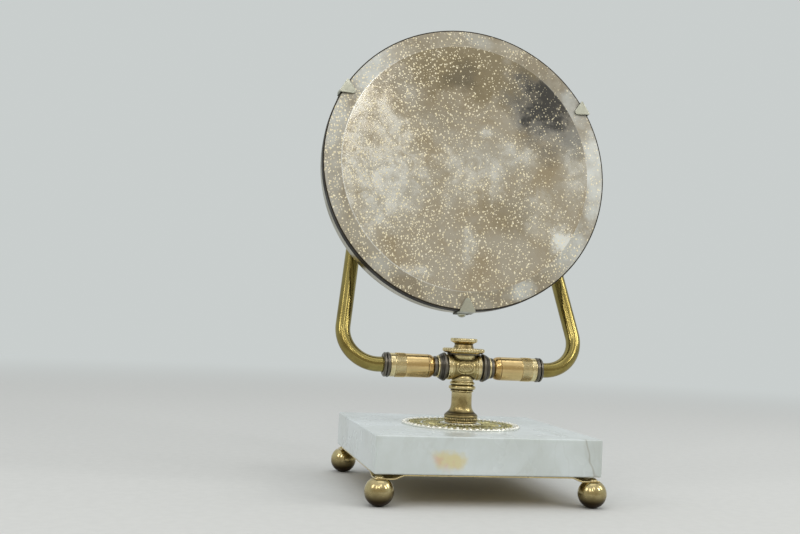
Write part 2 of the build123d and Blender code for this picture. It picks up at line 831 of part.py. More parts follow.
ear_inner = tongue_thick / 2 + turn_gap + pivot_washer_thick
ear_outer = ear_inner + bracket_thick
for side_name, side in sides:
    with BuildPart() as bracket:
        with BuildSketch(mirror_plane.offset(-pan_back)):
            with Locations((side * pivot_x, -pivot_below_centre)):
                Rectangle(2 * ear_outer, 2 * bracket_half_foot)
        extrude(amount=-bracket_thick)
        for ear in (-1, 1):
            ear_x = side * pivot_x + ear * (ear_inner + bracket_thick / 2)
            ear_origin = mirror_plane.from_local_coords((ear_x, -pivot_below_centre, 0))
            ear_plane = Plane(ear_origin, x_dir=mirror_plane.y_dir, z_dir=(1, 0, 0))
            with BuildSketch(ear_plane):
                with BuildLine():
                    Polyline(
                        (-bracket_half_foot, -pan_back),
                        (bracket_half_foot, -pan_back),
                        (ear_radius, -pivot_depth),
                        (-ear_radius, -pivot_depth),
                        close=True,
                    )
                make_face()
                with Locations((0, -pivot_depth)):
                    Circle(ear_radius)
                    Circle(pivot_radius + fit_gap, mode=Mode.SUBTRACT)
            extrude(amount=bracket_thick / 2, both=True)
        with BuildSketch(mirror_plane.offset(-pan_back)):
            with Locations(*bracket_spots):
                Circle(bracket_screw_radius + fit_gap)
        extrude(amount=-bracket_thick, mode=Mode.SUBTRACT)
    write_part(bracket, f"bracket_{side_name}")

    pivot_plane = Plane((side * pivot_x, pivot_y, pivot_z), x_dir=(0, 1, 0), z_dir=(side, 0, 0))
    with BuildPart() as pivot_screw:
        with BuildSketch(pivot_plane.offset(ear_outer)):
            Circle(pivot_head_radius)
        extrude(amount=pivot_head_thick)
        head_rim = pivot_screw.faces().sort_by(Axis((0, 0, 0), (side, 0, 0)))[-1].edges()
        fillet(head_rim, pivot_head_round)
        with BuildSketch(pivot_plane.offset(ear_outer)):
            Circle(pivot_radius)
        extrude(amount=-(2 * ear_outer + pivot_nut_thick + 1))
    write_part(pivot_screw, f"pivot_screw_{side_name}")

    with BuildPart() as pivot_nut:
        with BuildSketch(pivot_plane.offset(-ear_outer)):
            RegularPolygon(pivot_nut_across / 2, 6, major_radius=False)
            Circle(pivot_radius + fit_gap, mode=Mode.SUBTRACT)
        extrude(amount=-pivot_nut_thick)
    write_part(pivot_nut, f"pivot_nut_{side_name}")

with BuildPart() as pivot_washers:
    for _, side in sides:
        for face in (-1, 1):
            washer_x = side * pivot_x + face * (tongue_thick / 2 + turn_gap)
            with BuildSketch(Plane((washer_x, pivot_y, pivot_z), z_dir=(face, 0, 0))):
                Circle(pivot_washer_radius)
                Circle(pivot_radius + fit_gap, mode=Mode.SUBTRACT)
            extrude(amount=pivot_washer_thick)
write_part(pivot_washers, "pivot_washers")

with BuildPart() as bracket_screws:
    for radius, start, length in (
        (bracket_screw_head_radius, bracket_thick, bracket_screw_head_thick),
        (bracket_screw_radius, bracket_thick, -(bracket_thick + pan_wall + bracket_screw_inside)),
    ):
        with BuildSketch(mirror_plane.offset(-(pan_back + start))):
            with Locations(*bracket_spots):
                Circle(radius)
        extrude(amount=-length)
write_part(bracket_screws, "bracket_screws")
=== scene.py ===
import math

import bmesh
import bpy
from mathutils import Matrix, Vector, noise


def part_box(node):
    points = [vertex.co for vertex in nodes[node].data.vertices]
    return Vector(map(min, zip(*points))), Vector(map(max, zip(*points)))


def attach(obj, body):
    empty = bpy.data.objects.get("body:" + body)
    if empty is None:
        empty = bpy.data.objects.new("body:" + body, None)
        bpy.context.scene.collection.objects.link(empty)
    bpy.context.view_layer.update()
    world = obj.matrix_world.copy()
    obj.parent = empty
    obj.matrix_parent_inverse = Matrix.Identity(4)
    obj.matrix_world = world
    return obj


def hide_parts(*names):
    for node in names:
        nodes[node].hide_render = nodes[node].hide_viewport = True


# Table mirror: an old bevelled glass on a brass yoke, over a marble slab on ball feet.
# Settings are in millimetres; meshes are in metres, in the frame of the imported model.

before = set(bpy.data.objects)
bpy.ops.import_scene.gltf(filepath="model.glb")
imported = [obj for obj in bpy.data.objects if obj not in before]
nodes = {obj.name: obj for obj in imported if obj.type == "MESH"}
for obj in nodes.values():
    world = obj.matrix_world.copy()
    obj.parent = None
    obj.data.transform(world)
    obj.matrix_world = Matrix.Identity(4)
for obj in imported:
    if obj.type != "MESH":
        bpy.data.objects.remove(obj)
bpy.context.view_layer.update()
mm = 0.001
sides = {"left": -1, "right": 1}
spareObjects = []
print("frame loaded:", len(nodes), "nodes")

# Shader and tree helpers


def addNode(tree, kind, values=None, **settings):
    node = tree.nodes.new(kind)
    for key, value in settings.items():
        setattr(node, key, value)
    for key, value in (values or {}).items():
        if isinstance(value, bpy.types.NodeSocket):
            tree.links.new(value, node.inputs[key])
        else:
            node.inputs[key].default_value = value
    return node


def calc(tree, operation, first, second=0.0):
    return addNode(tree, "ShaderNodeMath", {0: first, 1: second}, operation=operation).outputs[0]


def plus(tree, first, second):
    return calc(tree, "ADD", first, second)


def times(tree, first, second):
    return calc(tree, "MULTIPLY", first, second)


def greater(tree, first, second):
    return calc(tree, "MAXIMUM", first, second)


def spread(tree, value, low, high, toLow=0.0, toHigh=1.0):
    values = {0: value, 1: low, 2: high, 3: toLow, 4: toHigh}
    return addNode(tree, "ShaderNodeMapRange", values, interpolation_type="SMOOTHSTEP").outputs[0]


def shifted(tree, vector, by):
    return addNode(tree, "ShaderNodeVectorMath", {0: vector, 1: by}, operation="ADD").outputs[0]


def scaled(tree, vector, by):
    return addNode(tree, "ShaderNodeVectorMath", {0: vector, "Scale": by}, operation="SCALE").outputs[0]


def lengthOf(tree, vector):
    return addNode(tree, "ShaderNodeVectorMath", {0: vector}, operation="LENGTH").outputs["Value"]


def paint(colour):
    return tuple((part / 255) ** 2.2 for part in colour) + (1.0,)


def mixColour(tree, amount, first, second):
    values = {0: amount, 6: first, 7: second}
    return addNode(tree, "ShaderNodeMix", values, data_type="RGBA").outputs[2]


def noiseNode(tree, vector, scale, detail=4.0, rough=0.55, bend=0.0):
    values = {"Vector": vector, "Scale": scale, "Detail": detail, "Roughness": rough, "Distortion": bend}
    return addNode(tree, "ShaderNodeTexNoise", values)


def cloud(tree, vector, scale, detail=4.0, rough=0.55, bend=0.0):
    return noiseNode(tree, vector, scale, detail, rough, bend).outputs[0]


def stretch(tree, vector, scale, place=(0, 0, 0), turn=(0, 0, 0), way="POINT"):
    values = {"Vector": vector, "Location": place, "Rotation": turn, "Scale": scale}
    return addNode(tree, "ShaderNodeMapping", values, vector_type=way).outputs[0]


def bump(tree, height, depth, normal=None):
    values = {"Height": height, "Distance": depth * mm}
    if normal is not None:
        values["Normal"] = normal
    return addNode(tree, "ShaderNodeBump", values).outputs[0]


def newMaterial(name, constants=None):
    material = bpy.data.materials.new(name)
    material.use_nodes = True
    tree = material.node_tree
    tree.nodes.clear()
    shader = addNode(tree, "ShaderNodeBsdfPrincipled", constants)
    addNode(tree, "ShaderNodeOutputMaterial", {"Surface": shader.outputs[0]})
    place = addNode(tree, "ShaderNodeTexCoord").outputs["Object"]
    return material, tree, shader, place


# Turned pieces carry a map of turns round the axis and metres along the outline. Pieces also carry how far
# each point lies in a groove, above nought, or on a ridge, below nought, and some carry painted shade above
# nought and painted light below it. Spans are where a pattern sets in.
metalLook = {
    "bright": (208, 190, 138), "dull": (140, 122, 80), "dark": (40, 31, 20), "edge": (236, 222, 176),
    "metallic": 1.0, "shine": 0.5, "rough": (0.20, 0.36),
    "patch": 22.0, "patchSpan": (0.36, 0.68), "age": 0.7,
    "streak": (3.0, 60.0, 1.0), "streakSpan": (0.32, 0.72), "streaky": 0.3,
    "freckle": 1.1, "freckleSpan": (0.60, 0.74), "freckled": 0.35, "freckleRough": 0.12,
    "recessSpan": (0.04, 0.55), "grime": 0.85, "recessRough": 0.25, "ridgeSpan": (0.06, 0.5),
    "rubbed": 0.5, "dent": 6.0, "dentDepth": 0.02, "line": (1.0, 9000.0, 1.0), "lineDepth": 0.004,
    "grain": 0.35, "grainDepth": 0.003,
}


def agedMetal(name, look):
    constants = {"Metallic": look["metallic"], "Specular IOR Level": look["shine"]}
    material, tree, shader, place = newMaterial(name, constants)
    turning = addNode(tree, "ShaderNodeUVMap", uv_map="turning").outputs[0]
    hollow = addNode(tree, "ShaderNodeAttribute", attribute_name="hollow").outputs["Fac"]
    patches = cloud(tree, place, 1 / (look["patch"] * mm), 5.0, 0.62, 0.4)
    tarnish = spread(tree, patches, *look["patchSpan"])
    streaks = cloud(tree, stretch(tree, turning, look["streak"]), 1.0, 5.0, 0.65)
    worn = spread(tree, streaks, *look["streakSpan"])
    age = plus(tree, times(tree, tarnish, 1 - look["streaky"]), times(tree, worn, look["streaky"]))
    colour = mixColour(tree, times(tree, age, look["age"]), paint(look["bright"]), paint(look["dull"]))
    freckles = spread(tree, cloud(tree, place, 1 / (look["freckle"] * mm), 3.0, 0.7),
                      *look["freckleSpan"])
    colour = mixColour(tree, times(tree, freckles, look["freckled"]), colour, paint(look["dark"]))
    # Grooves darken with grime, and with painted shade where a piece carries it in the same attribute
    recessAndShade = spread(tree, hollow, *look["recessSpan"])
    colour = mixColour(tree, times(tree, recessAndShade, look["grime"]), colour, paint(look["dark"]))
    # Ridges lighten with wear, and with painted highlights where a piece carries them
    ridge = spread(tree, times(tree, hollow, -1.0), *look["ridgeSpan"])
    colour = mixColour(tree, times(tree, ridge, look["rubbed"]), colour, paint(look["edge"]))
    tree.links.new(colour, shader.inputs["Base Color"])
    low, high = look["rough"]
    rough = plus(tree, spread(tree, age, 0.0, 1.0, low, high), times(tree, recessAndShade, look["recessRough"]))
    rough = plus(tree, rough, times(tree, freckles, look["freckleRough"]))
    tree.links.new(rough, shader.inputs["Roughness"])
    dents = bump(tree, cloud(tree, place, 1 / (look["dent"] * mm), 2.0), look["dentDepth"])
    lines = cloud(tree, stretch(tree, turning, look["line"]), 1.0, 2.0, 0.6)
    lined = bump(tree, lines, look["lineDepth"], dents)
    grains = cloud(tree, place, 1 / (look["grain"] * mm), 2.0, 0.6)
    tree.links.new(bump(tree, grains, look["grainDepth"], lined), shader.inputs["Normal"])
    return material


def metal(name, **changes):
    return agedMetal(name, {**metalLook, **changes})


def marbleStone(name):
    look = {
        "body": (216, 225, 228), "cloudy": (200, 208, 207), "vein": (180, 186, 181),
        "deep": (150, 148, 136), "bedding": (0.3, 0.5, 0.9), "driftScale": 9.0, "driftBy": 0.045,
        "mistScale": 16.0, "mistSpan": (0.34, 0.66),
        # Veins: scale, width, strength and colour
        "veins": ((9.0, 0.05, 0.5, "vein"), (26.0, 0.02, 0.25, "vein"), (6.3, 0.008, 0.6, "deep")),
        "veinShift": (0.13, 0.05, 0.02), "breakScale": 17.0, "breakSpan": (0.46, 0.66),
        "amber": (216, 203, 146), "rosy": (216, 178, 140), "rosyScale": 80.0, "rosySpan": (0.5, 0.64),
        "amberSpot": (-27.0, -76.0, 29.5), "amberSize": (9.8, 18.0, 7.8), "amberSpan": (0.45, 1.15),
        "amberStrength": 0.8, "raggedScale": 70.0, "raggedBy": 2.2,
        "polish": (0.2, 0.3), "polishScale": 34.0, "waveScale": 14.0, "waveDepth": 0.02,
        "pitScale": 900.0, "pitSpan": (0.66, 0.74), "pitDepth": 0.0008,
    }
    constants = {"Coat Weight": 0.25, "Coat Roughness": 0.12, "Specular IOR Level": 0.45}
    material, tree, shader, place = newMaterial(name, constants)
    tilted = stretch(tree, place, (1.0, 1.0, 0.7), turn=look["bedding"])
    drift = noiseNode(tree, tilted, look["driftScale"], rough=0.5).outputs[1]
    drift = scaled(tree, shifted(tree, drift, (-0.5, -0.5, -0.5)), look["driftBy"])
    bent = shifted(tree, tilted, drift)
    mist = spread(tree, cloud(tree, bent, look["mistScale"], 6.0, 0.6), *look["mistSpan"])
    colour = mixColour(tree, mist, paint(look["body"]), paint(look["cloudy"]))
    for scale, width, strength, tone in look["veins"]:
        across, back, up = look["veinShift"]
        flow = cloud(tree, stretch(tree, bent, (1.0, 1.6, 1.0), place=(across * scale, back, up)), scale,
                     5.0, 0.5)
        thread = spread(tree, calc(tree, "ABSOLUTE", plus(tree, flow, -0.5)), 0.0, width, 1.0, 0.0)
        broken = spread(tree, cloud(tree, place, look["breakScale"], 3.0), *look["breakSpan"])
        colour = mixColour(tree, times(tree, times(tree, thread, broken), strength), colour,
                           paint(look[tone]))
    size = [1 / (part * mm) for part in look["amberSize"]]
    spot = [-part * mm * scale for part, scale in zip(look["amberSpot"], size)]
    ragged = noiseNode(tree, place, look["raggedScale"], 3.0, 0.5).outputs[1]
    ragged = shifted(tree, scaled(tree, ragged, look["raggedBy"]), [-look["raggedBy"] / 2] * 3)
    away = lengthOf(tree, shifted(tree, stretch(tree, place, size, place=spot), ragged))
    low, high = look["amberSpan"]
    stain = times(tree, spread(tree, away, low, high, 1.0, 0.0), look["amberStrength"])
    rosy = spread(tree, cloud(tree, place, look["rosyScale"], 2.0), *look["rosySpan"])
    colour = mixColour(tree, stain, colour, mixColour(tree, rosy, paint(look["amber"]),
                                                      paint(look["rosy"])))
    tree.links.new(colour, shader.inputs["Base Color"])
    rough = spread(tree, cloud(tree, place, look["polishScale"], 3.0), 0.3, 0.7, *look["polish"])
    tree.links.new(rough, shader.inputs["Roughness"])
    waves = bump(tree, cloud(tree, place, look["waveScale"], 1.0), look["waveDepth"])
    low, high = look["pitSpan"]
    pits = spread(tree, cloud(tree, place, look["pitScale"], 2.0), low, high, 1.0, 0.0)
    tree.links.new(bump(tree, pits, look["pitDepth"], waves), shader.inputs["Normal"])
    return material


# The mirror's plane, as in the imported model: X across, then up the leaning glass, then out of its face
mirrorPlace = {"origin": (0.0, 10.23, 232.7), "lean": 8.55, "glassRadius": 106.3, "bevelStart": 93.6}
leanAngle = math.radians(mirrorPlace["lean"])
mirrorOrigin = Vector(mirrorPlace["origin"]) * mm
mirrorUp = Vector((0, math.sin(leanAngle), math.cos(leanAngle)))
mirrorOut = Vector((0, -math.cos(leanAngle), math.sin(leanAngle)))


def oldMirror(name):
    look = {
        "silver": (228, 225, 216), "warm": (210, 197, 172), "toneScale": 26.0, "toneSpan": (0.35, 0.68),
        "brown": (172, 158, 126), "haze": (226, 230, 227), "smoke": (34, 34, 32),
        "raggedScale": 42.0, "raggedBy": 2.4, "spotSpan": (0.35, 1.3), "wispScale": 75.0,
        # From bevelWarm on, the bevel's colours and its edge line are painted reflections of the room
        "wisps": (0.35, 1.0), "bevelWarm": (154, 147, 130), "bevelDeep": (134, 124, 104),
        "bevelPale": (198, 203, 201), "bevelCover": 0.88, "bevelTones": (0.1, 0.9), "glintScale": 60.0,
        "glints": (0.5, 1.0), "bevelLightLine": (242, 244, 240), "edgeHalf": (0.1, 0.6),
        "edgeStrength": (0.08, 0.7), "fleck": (250, 243, 218), "fleckDeep": (232, 219, 178),
        "fleckToneScale": 700.0,
        # Flecks crowd to the left: metres across and up are weighed, then clumps are added
        "crowdLean": (-4.2, -1.2), "clumpScale": 34.0, "clumps": (-0.1, 0.5), "crowd": (0.44, 1.0),
        # Cells to the metre, biggest fleck, share of cells that hold one, turn of the cells
        "flecks": ((280.0, 0.22, 0.7, 0.5), (400.0, 0.24, 0.6, -0.4), (600.0, 0.27, 0.42, 1.3)),
        "fleckGrow": 1.8, "fleckSoft": (-0.02, 0.07), "fleckUnderSmoke": 0.3, "fleckDepth": 0.008,
        "hazeDull": 0.8, "smokeDull": 0.75, "bevelDull": 0.85, "leastMetal": 0.1, "rough": (0.07, 0.42),
        "smearScale": 70.0, "smear": 0.10, "coat": (0.6, 0.12),
    }
    # Where the silvering has clouded or gone: across, up, half width, half height, strength
    spots = {
        "haze": ((73, -50, 12, 17, 0.9), (1, -57, 6, 20, 0.5), (14, 26, 7, 5, 0.6), (86, 6, 15, 28, 0.42),
                 (-38, -81, 17, 6, 0.55), (5, -6, 36, 28, 0.5), (35, -96, 9, 6, 0.8),
                 (-88, -8, 12, 38, 0.6), (-82, 44, 15, 24, 0.55), (57, -30, 15, 26, 0.4),
                 (34, 10, 22, 12, 0.5), (-62, -6, 34, 60, 0.6)),
        "smoke": ((65, 55, 34, 38, 0.97), (-5, 70, 15, 14, 0.55), (80, 32, 19, 18, 0.66)),
        "brown": ((0, 78, 66, 34, 0.85), (30, -34, 24, 18, 0.45), (-26, 40, 22, 20, 0.4)),
        # Painted reflections on the bevel: the bright side of the room shows here, and little elsewhere
        "glint": ((-74, 68, 22, 22, 1.0), (-99, 26, 10, 26, 0.75), (101, 0, 12, 44, 1.0),
                  (86, 56, 15, 20, 0.65), (82, -60, 18, 26, 0.9), (6, 99, 16, 8, 0.45),
                  (-101, -14, 9, 44, 0.4), (42, -91, 11, 9, 0.9), (-62, -78, 16, 8, 0.4)),
    }
    material, tree, shader, place = newMaterial(name)
    flat = stretch(tree, place, (1, 1, 1), mirrorOrigin, (math.pi / 2 - leanAngle, 0, 0), "TEXTURE")
    flat = stretch(tree, flat, (1, 1, 0))
    across, up = addNode(tree, "ShaderNodeSeparateXYZ", {0: flat}).outputs[:2]
    fromMiddle = lengthOf(tree, flat)
    ragged = scaled(tree, noiseNode(tree, flat, look["raggedScale"], 7.0, 0.68).outputs[1],
                    look["raggedBy"])

    def clouds(kind):
        total = None
        for middle, height, halfWide, halfHigh, strength in spots[kind]:
            scale = (1 / (halfWide * mm), 1 / (halfHigh * mm), 0)
            centre = (-middle / halfWide - look["raggedBy"] / 2,
                      -height / halfHigh - look["raggedBy"] / 2, 0)
            local = shifted(tree, stretch(tree, flat, scale, centre), ragged)
            away = lengthOf(tree, stretch(tree, local, (1, 1, 0)))
            low, high = look["spotSpan"]
            one = times(tree, spread(tree, away, low, high, 1.0, 0.0), strength)
            total = one if total is None else greater(tree, total, one)
        return total

    tone = spread(tree, cloud(tree, flat, look["toneScale"], 5.0, 0.6, 0.6), *look["toneSpan"])
    wisps = spread(tree, cloud(tree, flat, look["wispScale"], 6.0, 0.7, 0.8), 0.3, 0.6, *look["wisps"])
    haze = times(tree, clouds("haze"), wisps)
    smoke = clouds("smoke")
    colour = mixColour(tree, tone, paint(look["silver"]), paint(look["warm"]))
    colour = mixColour(tree, clouds("brown"), colour, paint(look["brown"]))
    colour = mixColour(tree, haze, colour, paint(look["haze"]))
    colour = mixColour(tree, smoke, colour, paint(look["smoke"]))
    # The bevel's colour is a painted reflection: it shows another part of the room than the flat does
    start = mirrorPlace["bevelStart"] * mm
    onBevel = spread(tree, fromMiddle, start - 0.1 * mm, start + 0.1 * mm)
    glitter = spread(tree, cloud(tree, flat, look["glintScale"], 6.0, 0.7), 0.3, 0.62, *look["glints"])
    deeper = spread(tree, tone, *look["bevelTones"])
    bevelTone = mixColour(tree, deeper, paint(look["bevelWarm"]), paint(look["bevelDeep"]))
    bevelTone = mixColour(tree, times(tree, clouds("glint"), glitter), bevelTone,
                          paint(look["bevelPale"]))
    colour = mixColour(tree, times(tree, onBevel, look["bevelCover"]), colour, bevelTone)
    # Flecks are corroded spots, thick on the left and thin on the right
    leanAcross, leanUp = look["crowdLean"]
    side = plus(tree, times(tree, across, leanAcross), times(tree, up, leanUp))
    clumps = spread(tree, cloud(tree, flat, look["clumpScale"], 4.0, 0.6), 0.35, 0.68, *look["clumps"])
    crowd = spread(tree, plus(tree, side, clumps), -0.6, 0.7, *look["crowd"])
    flecks = None
    for scale, biggest, share, turn in look["flecks"]:
        slanted = stretch(tree, flat, (1.12, 0.92, 1), place=(0.01 * turn, 0.02, 0), turn=(0, 0, turn))
        values = {"Vector": slanted, "Scale": scale, "Randomness": 1.0}
        cells = addNode(tree, "ShaderNodeTexVoronoi", values, voronoi_dimensions="2D")
        chance = addNode(tree, "ShaderNodeSeparateColor", {0: cells.outputs["Color"]}).outputs[0]
        size = calc(tree, "SUBTRACT", chance, calc(tree, "SUBTRACT", 1.0, times(tree, crowd, share)))
        size = calc(tree, "MINIMUM", times(tree, size, biggest / share * look["fleckGrow"]), biggest)
        gap = calc(tree, "SUBTRACT", size, cells.outputs["Distance"])
        one = spread(tree, gap, *look["fleckSoft"])
        flecks = one if flecks is None else greater(tree, flecks, one)
    fleckTone = spread(tree, cloud(tree, flat, look["fleckToneScale"], 1.0), 0.35, 0.62)
    fleckColour = mixColour(tree, fleckTone, paint(look["fleck"]), paint(look["fleckDeep"]))
    flecks = times(tree, flecks, calc(tree, "SUBTRACT", 1.0, times(tree, smoke, look["fleckUnderSmoke"])))
    colour = mixColour(tree, flecks, colour, fleckColour)
    # A painted thin line of light runs along the bevel's inner edge, stronger on the left
    thin, wide = look["edgeHalf"]
    edge = spread(tree, calc(tree, "ABSOLUTE", plus(tree, fromMiddle, -start)), thin * mm, wide * mm,
                  1.0, 0.0)
    edge = times(tree, edge, spread(tree, side, 0.0, 0.35, *look["edgeStrength"]))
    colour = mixColour(tree, edge, colour, paint(look["bevelLightLine"]))
    tree.links.new(colour, shader.inputs["Base Color"])
    dulled = greater(tree, flecks, times(tree, smoke, look["smokeDull"]))
    dulled = greater(tree, times(tree, haze, look["hazeDull"]), dulled)
    dulled = greater(tree, dulled, times(tree, onBevel, look["bevelDull"]))
    tree.links.new(spread(tree, dulled, 0.0, 1.0, 1.0, look["leastMetal"]), shader.inputs["Metallic"])
    smears = spread(tree, cloud(tree, flat, look["smearScale"], 5.0, 0.6), 0.4, 0.7, 0.0, look["smear"])
    rough = plus(tree, spread(tree, dulled, 0.0, 1.0, *look["rough"]), smears)
    tree.links.new(rough, shader.inputs["Roughness"])
    tree.links.new(bump(tree, flecks, look["fleckDepth"]), shader.inputs["Normal"])
    tree.links.new(spread(tree, onBevel, 0.0, 1.0, *look["coat"]), shader.inputs["Coat Weight"])
    shader.inputs["Coat Roughness"].default_value = 0.03
    return material


def pressedBoard(name):
    look = {"pale": (128, 104, 72), "deep": (86, 66, 44), "damp": (60, 48, 34), "fibreScale": 900.0,
            "dampScale": 22.0, "dampSpan": (0.45, 0.7), "rough": (0.8, 0.95), "fibreDepth": 0.1}
    material, tree, shader, place = newMaterial(name)
    fibres = cloud(tree, stretch(tree, place, (1, 3, 1)), look["fibreScale"], 5.0, 0.7)
    colour = mixColour(tree, spread(tree, fibres, 0.3, 0.7), paint(look["pale"]), paint(look["deep"]))
    damp = spread(tree, cloud(tree, place, look["dampScale"]), *look["dampSpan"])
    colour = mixColour(tree, times(tree, damp, 0.5), colour, paint(look["damp"]))
    tree.links.new(colour, shader.inputs["Base Color"])
    tree.links.new(spread(tree, fibres, 0.3, 0.7, *look["rough"]), shader.inputs["Roughness"])
    tree.links.new(bump(tree, fibres, look["fibreDepth"]), shader.inputs["Normal"])
    return material


finishes = {
    "marble": marbleStone("marbleStone"),
    "plate_brass": metal("plateBrass", bright=(226, 206, 156), dull=(150, 128, 82), patch=14.0, age=0.6),
    # On the balls the strong recess darkening carries their painted dark reflection and seat shade
    "foot_brass": metal("ballBrass", bright=(206, 190, 142), dull=(146, 128, 84), dark=(48, 36, 24),
                        rough=(0.13, 0.23), patch=9.0, age=0.6, freckled=0.25, grime=0.97, dent=4.0,
                        dentDepth=0.012, lineDepth=0.0),
    "steel": metal("rodSteel", bright=(150, 146, 138), dull=(92, 84, 72), dark=(40, 30, 22),
                   edge=(190, 186, 176), rough=(0.32, 0.5), age=0.8, freckled=0.6),
    # On the lace the near-white edge colour paints highlights on bead tops and strip crowns
    "filigree_brass": metal("laceBrass", bright=(184, 178, 130), dull=(126, 120, 78), dark=(62, 56, 34),
                            edge=(252, 251, 242), rough=(0.22, 0.36), patch=9.0, age=0.8, grime=0.85,
                            rubbed=1.0, lineDepth=0.0),
    "cast_brass": metal("castBrass", bright=(190, 172, 120), dull=(118, 103, 68), dark=(38, 31, 22),
                        edge=(220, 204, 154), rough=(0.20, 0.35), patch=6.0, age=0.85, rubbed=0.75,
                        freckled=0.45, dent=3.0, dentDepth=0.03),
    "ring_brass": metal("ringBrass", bright=(214, 192, 136), dull=(138, 117, 74), dark=(38, 29, 18),
                        edge=(242, 228, 182), rough=(0.17, 0.30), patch=8.0, age=0.75, rubbed=0.7),
    "sleeve_brass": metal("sleeveBrass", bright=(216, 180, 116), dull=(146, 112, 62), dark=(46, 30, 14),
                          edge=(246, 224, 168), rough=(0.15, 0.28), patch=12.0, age=0.75, rubbed=0.5),
    "dark_metal": metal("smokedPewter", bright=(88, 84, 78), dull=(46, 43, 39), dark=(14, 12, 10),
                        edge=(140, 134, 122), rough=(0.28, 0.44), patch=6.0, age=0.8, rubbed=0.6),
    "tube_brass": metal("tubeBrass", bright=(160, 146, 88), dull=(104, 90, 48), dark=(42, 33, 17),
                        edge=(206, 192, 140), rough=(0.15, 0.26), patch=26.0, age=0.8,
                        streak=(9.0, 26.0, 1.0), streaky=0.4, freckled=0.15, dentDepth=0.008,
                        lineDepth=0.0, grainDepth=0.0004),
    "mirror_glass": oldMirror("oldMirror"),
    "rim_metal": metal("rimMetal", bright=(30, 26, 20), dull=(15, 12, 9), dark=(9, 7, 5),
                       edge=(64, 56, 42), rough=(0.42, 0.6), patch=20.0, age=0.85, metallic=0.0,
                       shine=0.2),
    "pan_metal": metal("panMetal", bright=(178, 174, 160), dull=(122, 117, 102), dark=(52, 46, 36),
                       edge=(208, 204, 188), rough=(0.28, 0.46), patch=28.0, age=0.8, freckled=0.45,
                       dent=30.0, dentDepth=0.12),
    "board": pressedBoard("pressedBoard"),
    "clip_nickel": metal("clipNickel", bright=(190, 192, 178), dull=(140, 142, 127), dark=(48, 46, 38),
                         edge=(226, 228, 214), rough=(0.30, 0.46), patch=5.0, age=0.6, rubbed=0.7),
}
print("finishes made:", len(finishes))

# Mesh helpers


def newPiece(name, mesh):
    piece = bpy.data.objects.new(name, mesh)
    bpy.context.scene.collection.objects.link(piece)
    return piece


def toMesh(name, shape, tidy=True):
    if tidy:
        bmesh.ops.remove_doubles(shape, verts=shape.verts, dist=1e-7)
        bmesh.ops.dissolve_degenerate(shape, edges=shape.edges, dist=1e-8)
        bmesh.ops.recalc_face_normals(shape, faces=shape.faces)
    mesh = bpy.data.meshes.new(name)
    shape.to_mesh(mesh)
    shape.free()
    mesh.polygons.foreach_set("use_smooth", [True] * len(mesh.polygons))
    return mesh


def finishPiece(piece, body, slot, *replaced):
    piece.data.materials.clear()
    piece.data.materials.append(finishes[slot])
    even = piece.modifiers.new("evenShading", "WEIGHTED_NORMAL")
    even.keep_sharp = True
    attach(piece, body)
    if replaced:
        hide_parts(*replaced)
    return piece


def makePiece(name, shape, body, slot, *replaced):
    return finishPiece(newPiece(name, toMesh(name, shape)), body, slot, *replaced)


def roundCorners(corners, closed, steps=4):
    points = []
    count = len(corners)
    for index, corner in enumerate(corners):
        here = Vector(corner[:2])
        rounding = corner[2] if len(corner) > 2 else 0.0
        if rounding == 0 or (not closed and index in (0, count - 1)):
            points.append(here)
            continue
        before = Vector(corners[index - 1][:2]) - here
        after = Vector(corners[(index + 1) % count][:2]) - here
        reach = min(rounding, before.length * 0.48, after.length * 0.48)
        start = here + before.normalized() * reach
        end = here + after.normalized() * reach
        for step in range(steps + 1):
            t = step / steps
            points.append(start * (1 - t) ** 2 + here * (2 * t * (1 - t)) + end * t ** 2)
    return points


def measureHollows(points, closed, reach=0.9, finest=0.12, most=1500, scale=0.25):
    # How far each point of an outline lies under the mean of its neighbourhood: grooves are above nought.
    # Samples are never nearer than finest, nor more in number than most.
    lengths = [0.0]
    ring = points + [points[0]] if closed else points
    for first, second in zip(ring, ring[1:]):
        lengths.append(lengths[-1] + (second - first).length)
    total = lengths[-1]
    step = max(finest, total / most)
    samples = []
    index = 0
    for number in range(int(total / step) + 1):
        at = number * step
        while index < len(lengths) - 2 and lengths[index + 1] < at:
            index += 1
        part = (at - lengths[index]) / max(lengths[index + 1] - lengths[index], 1e-9)
        samples.append(ring[index].lerp(ring[index + 1], min(max(part, 0), 1)))
    area = sum(a.x * b.y - b.x * a.y for a, b in zip(points, points[1:] + points[:1]))
    outward = 1 if area > 0 else -1
    half = max(1, int(reach / step))
    values = []
    for number, point in enumerate(points):
        middle = int(lengths[number] / step)
        near = range(middle - half, middle + half + 1)
        if closed:
            near = [samples[k % len(samples)] for k in near]
        else:
            near = [samples[min(max(k, 0), len(samples) - 1)] for k in near]
        mean = sum(near, Vector((0, 0))) / len(near)
        before = points[number - 1]
        after = points[(number + 1) % len(points)]
        along = (after - before).normalized()
        normal = Vector((along.y, -along.x)) * outward
        values.append((mean - point).dot(normal) / (reach * scale))
    return values, lengths


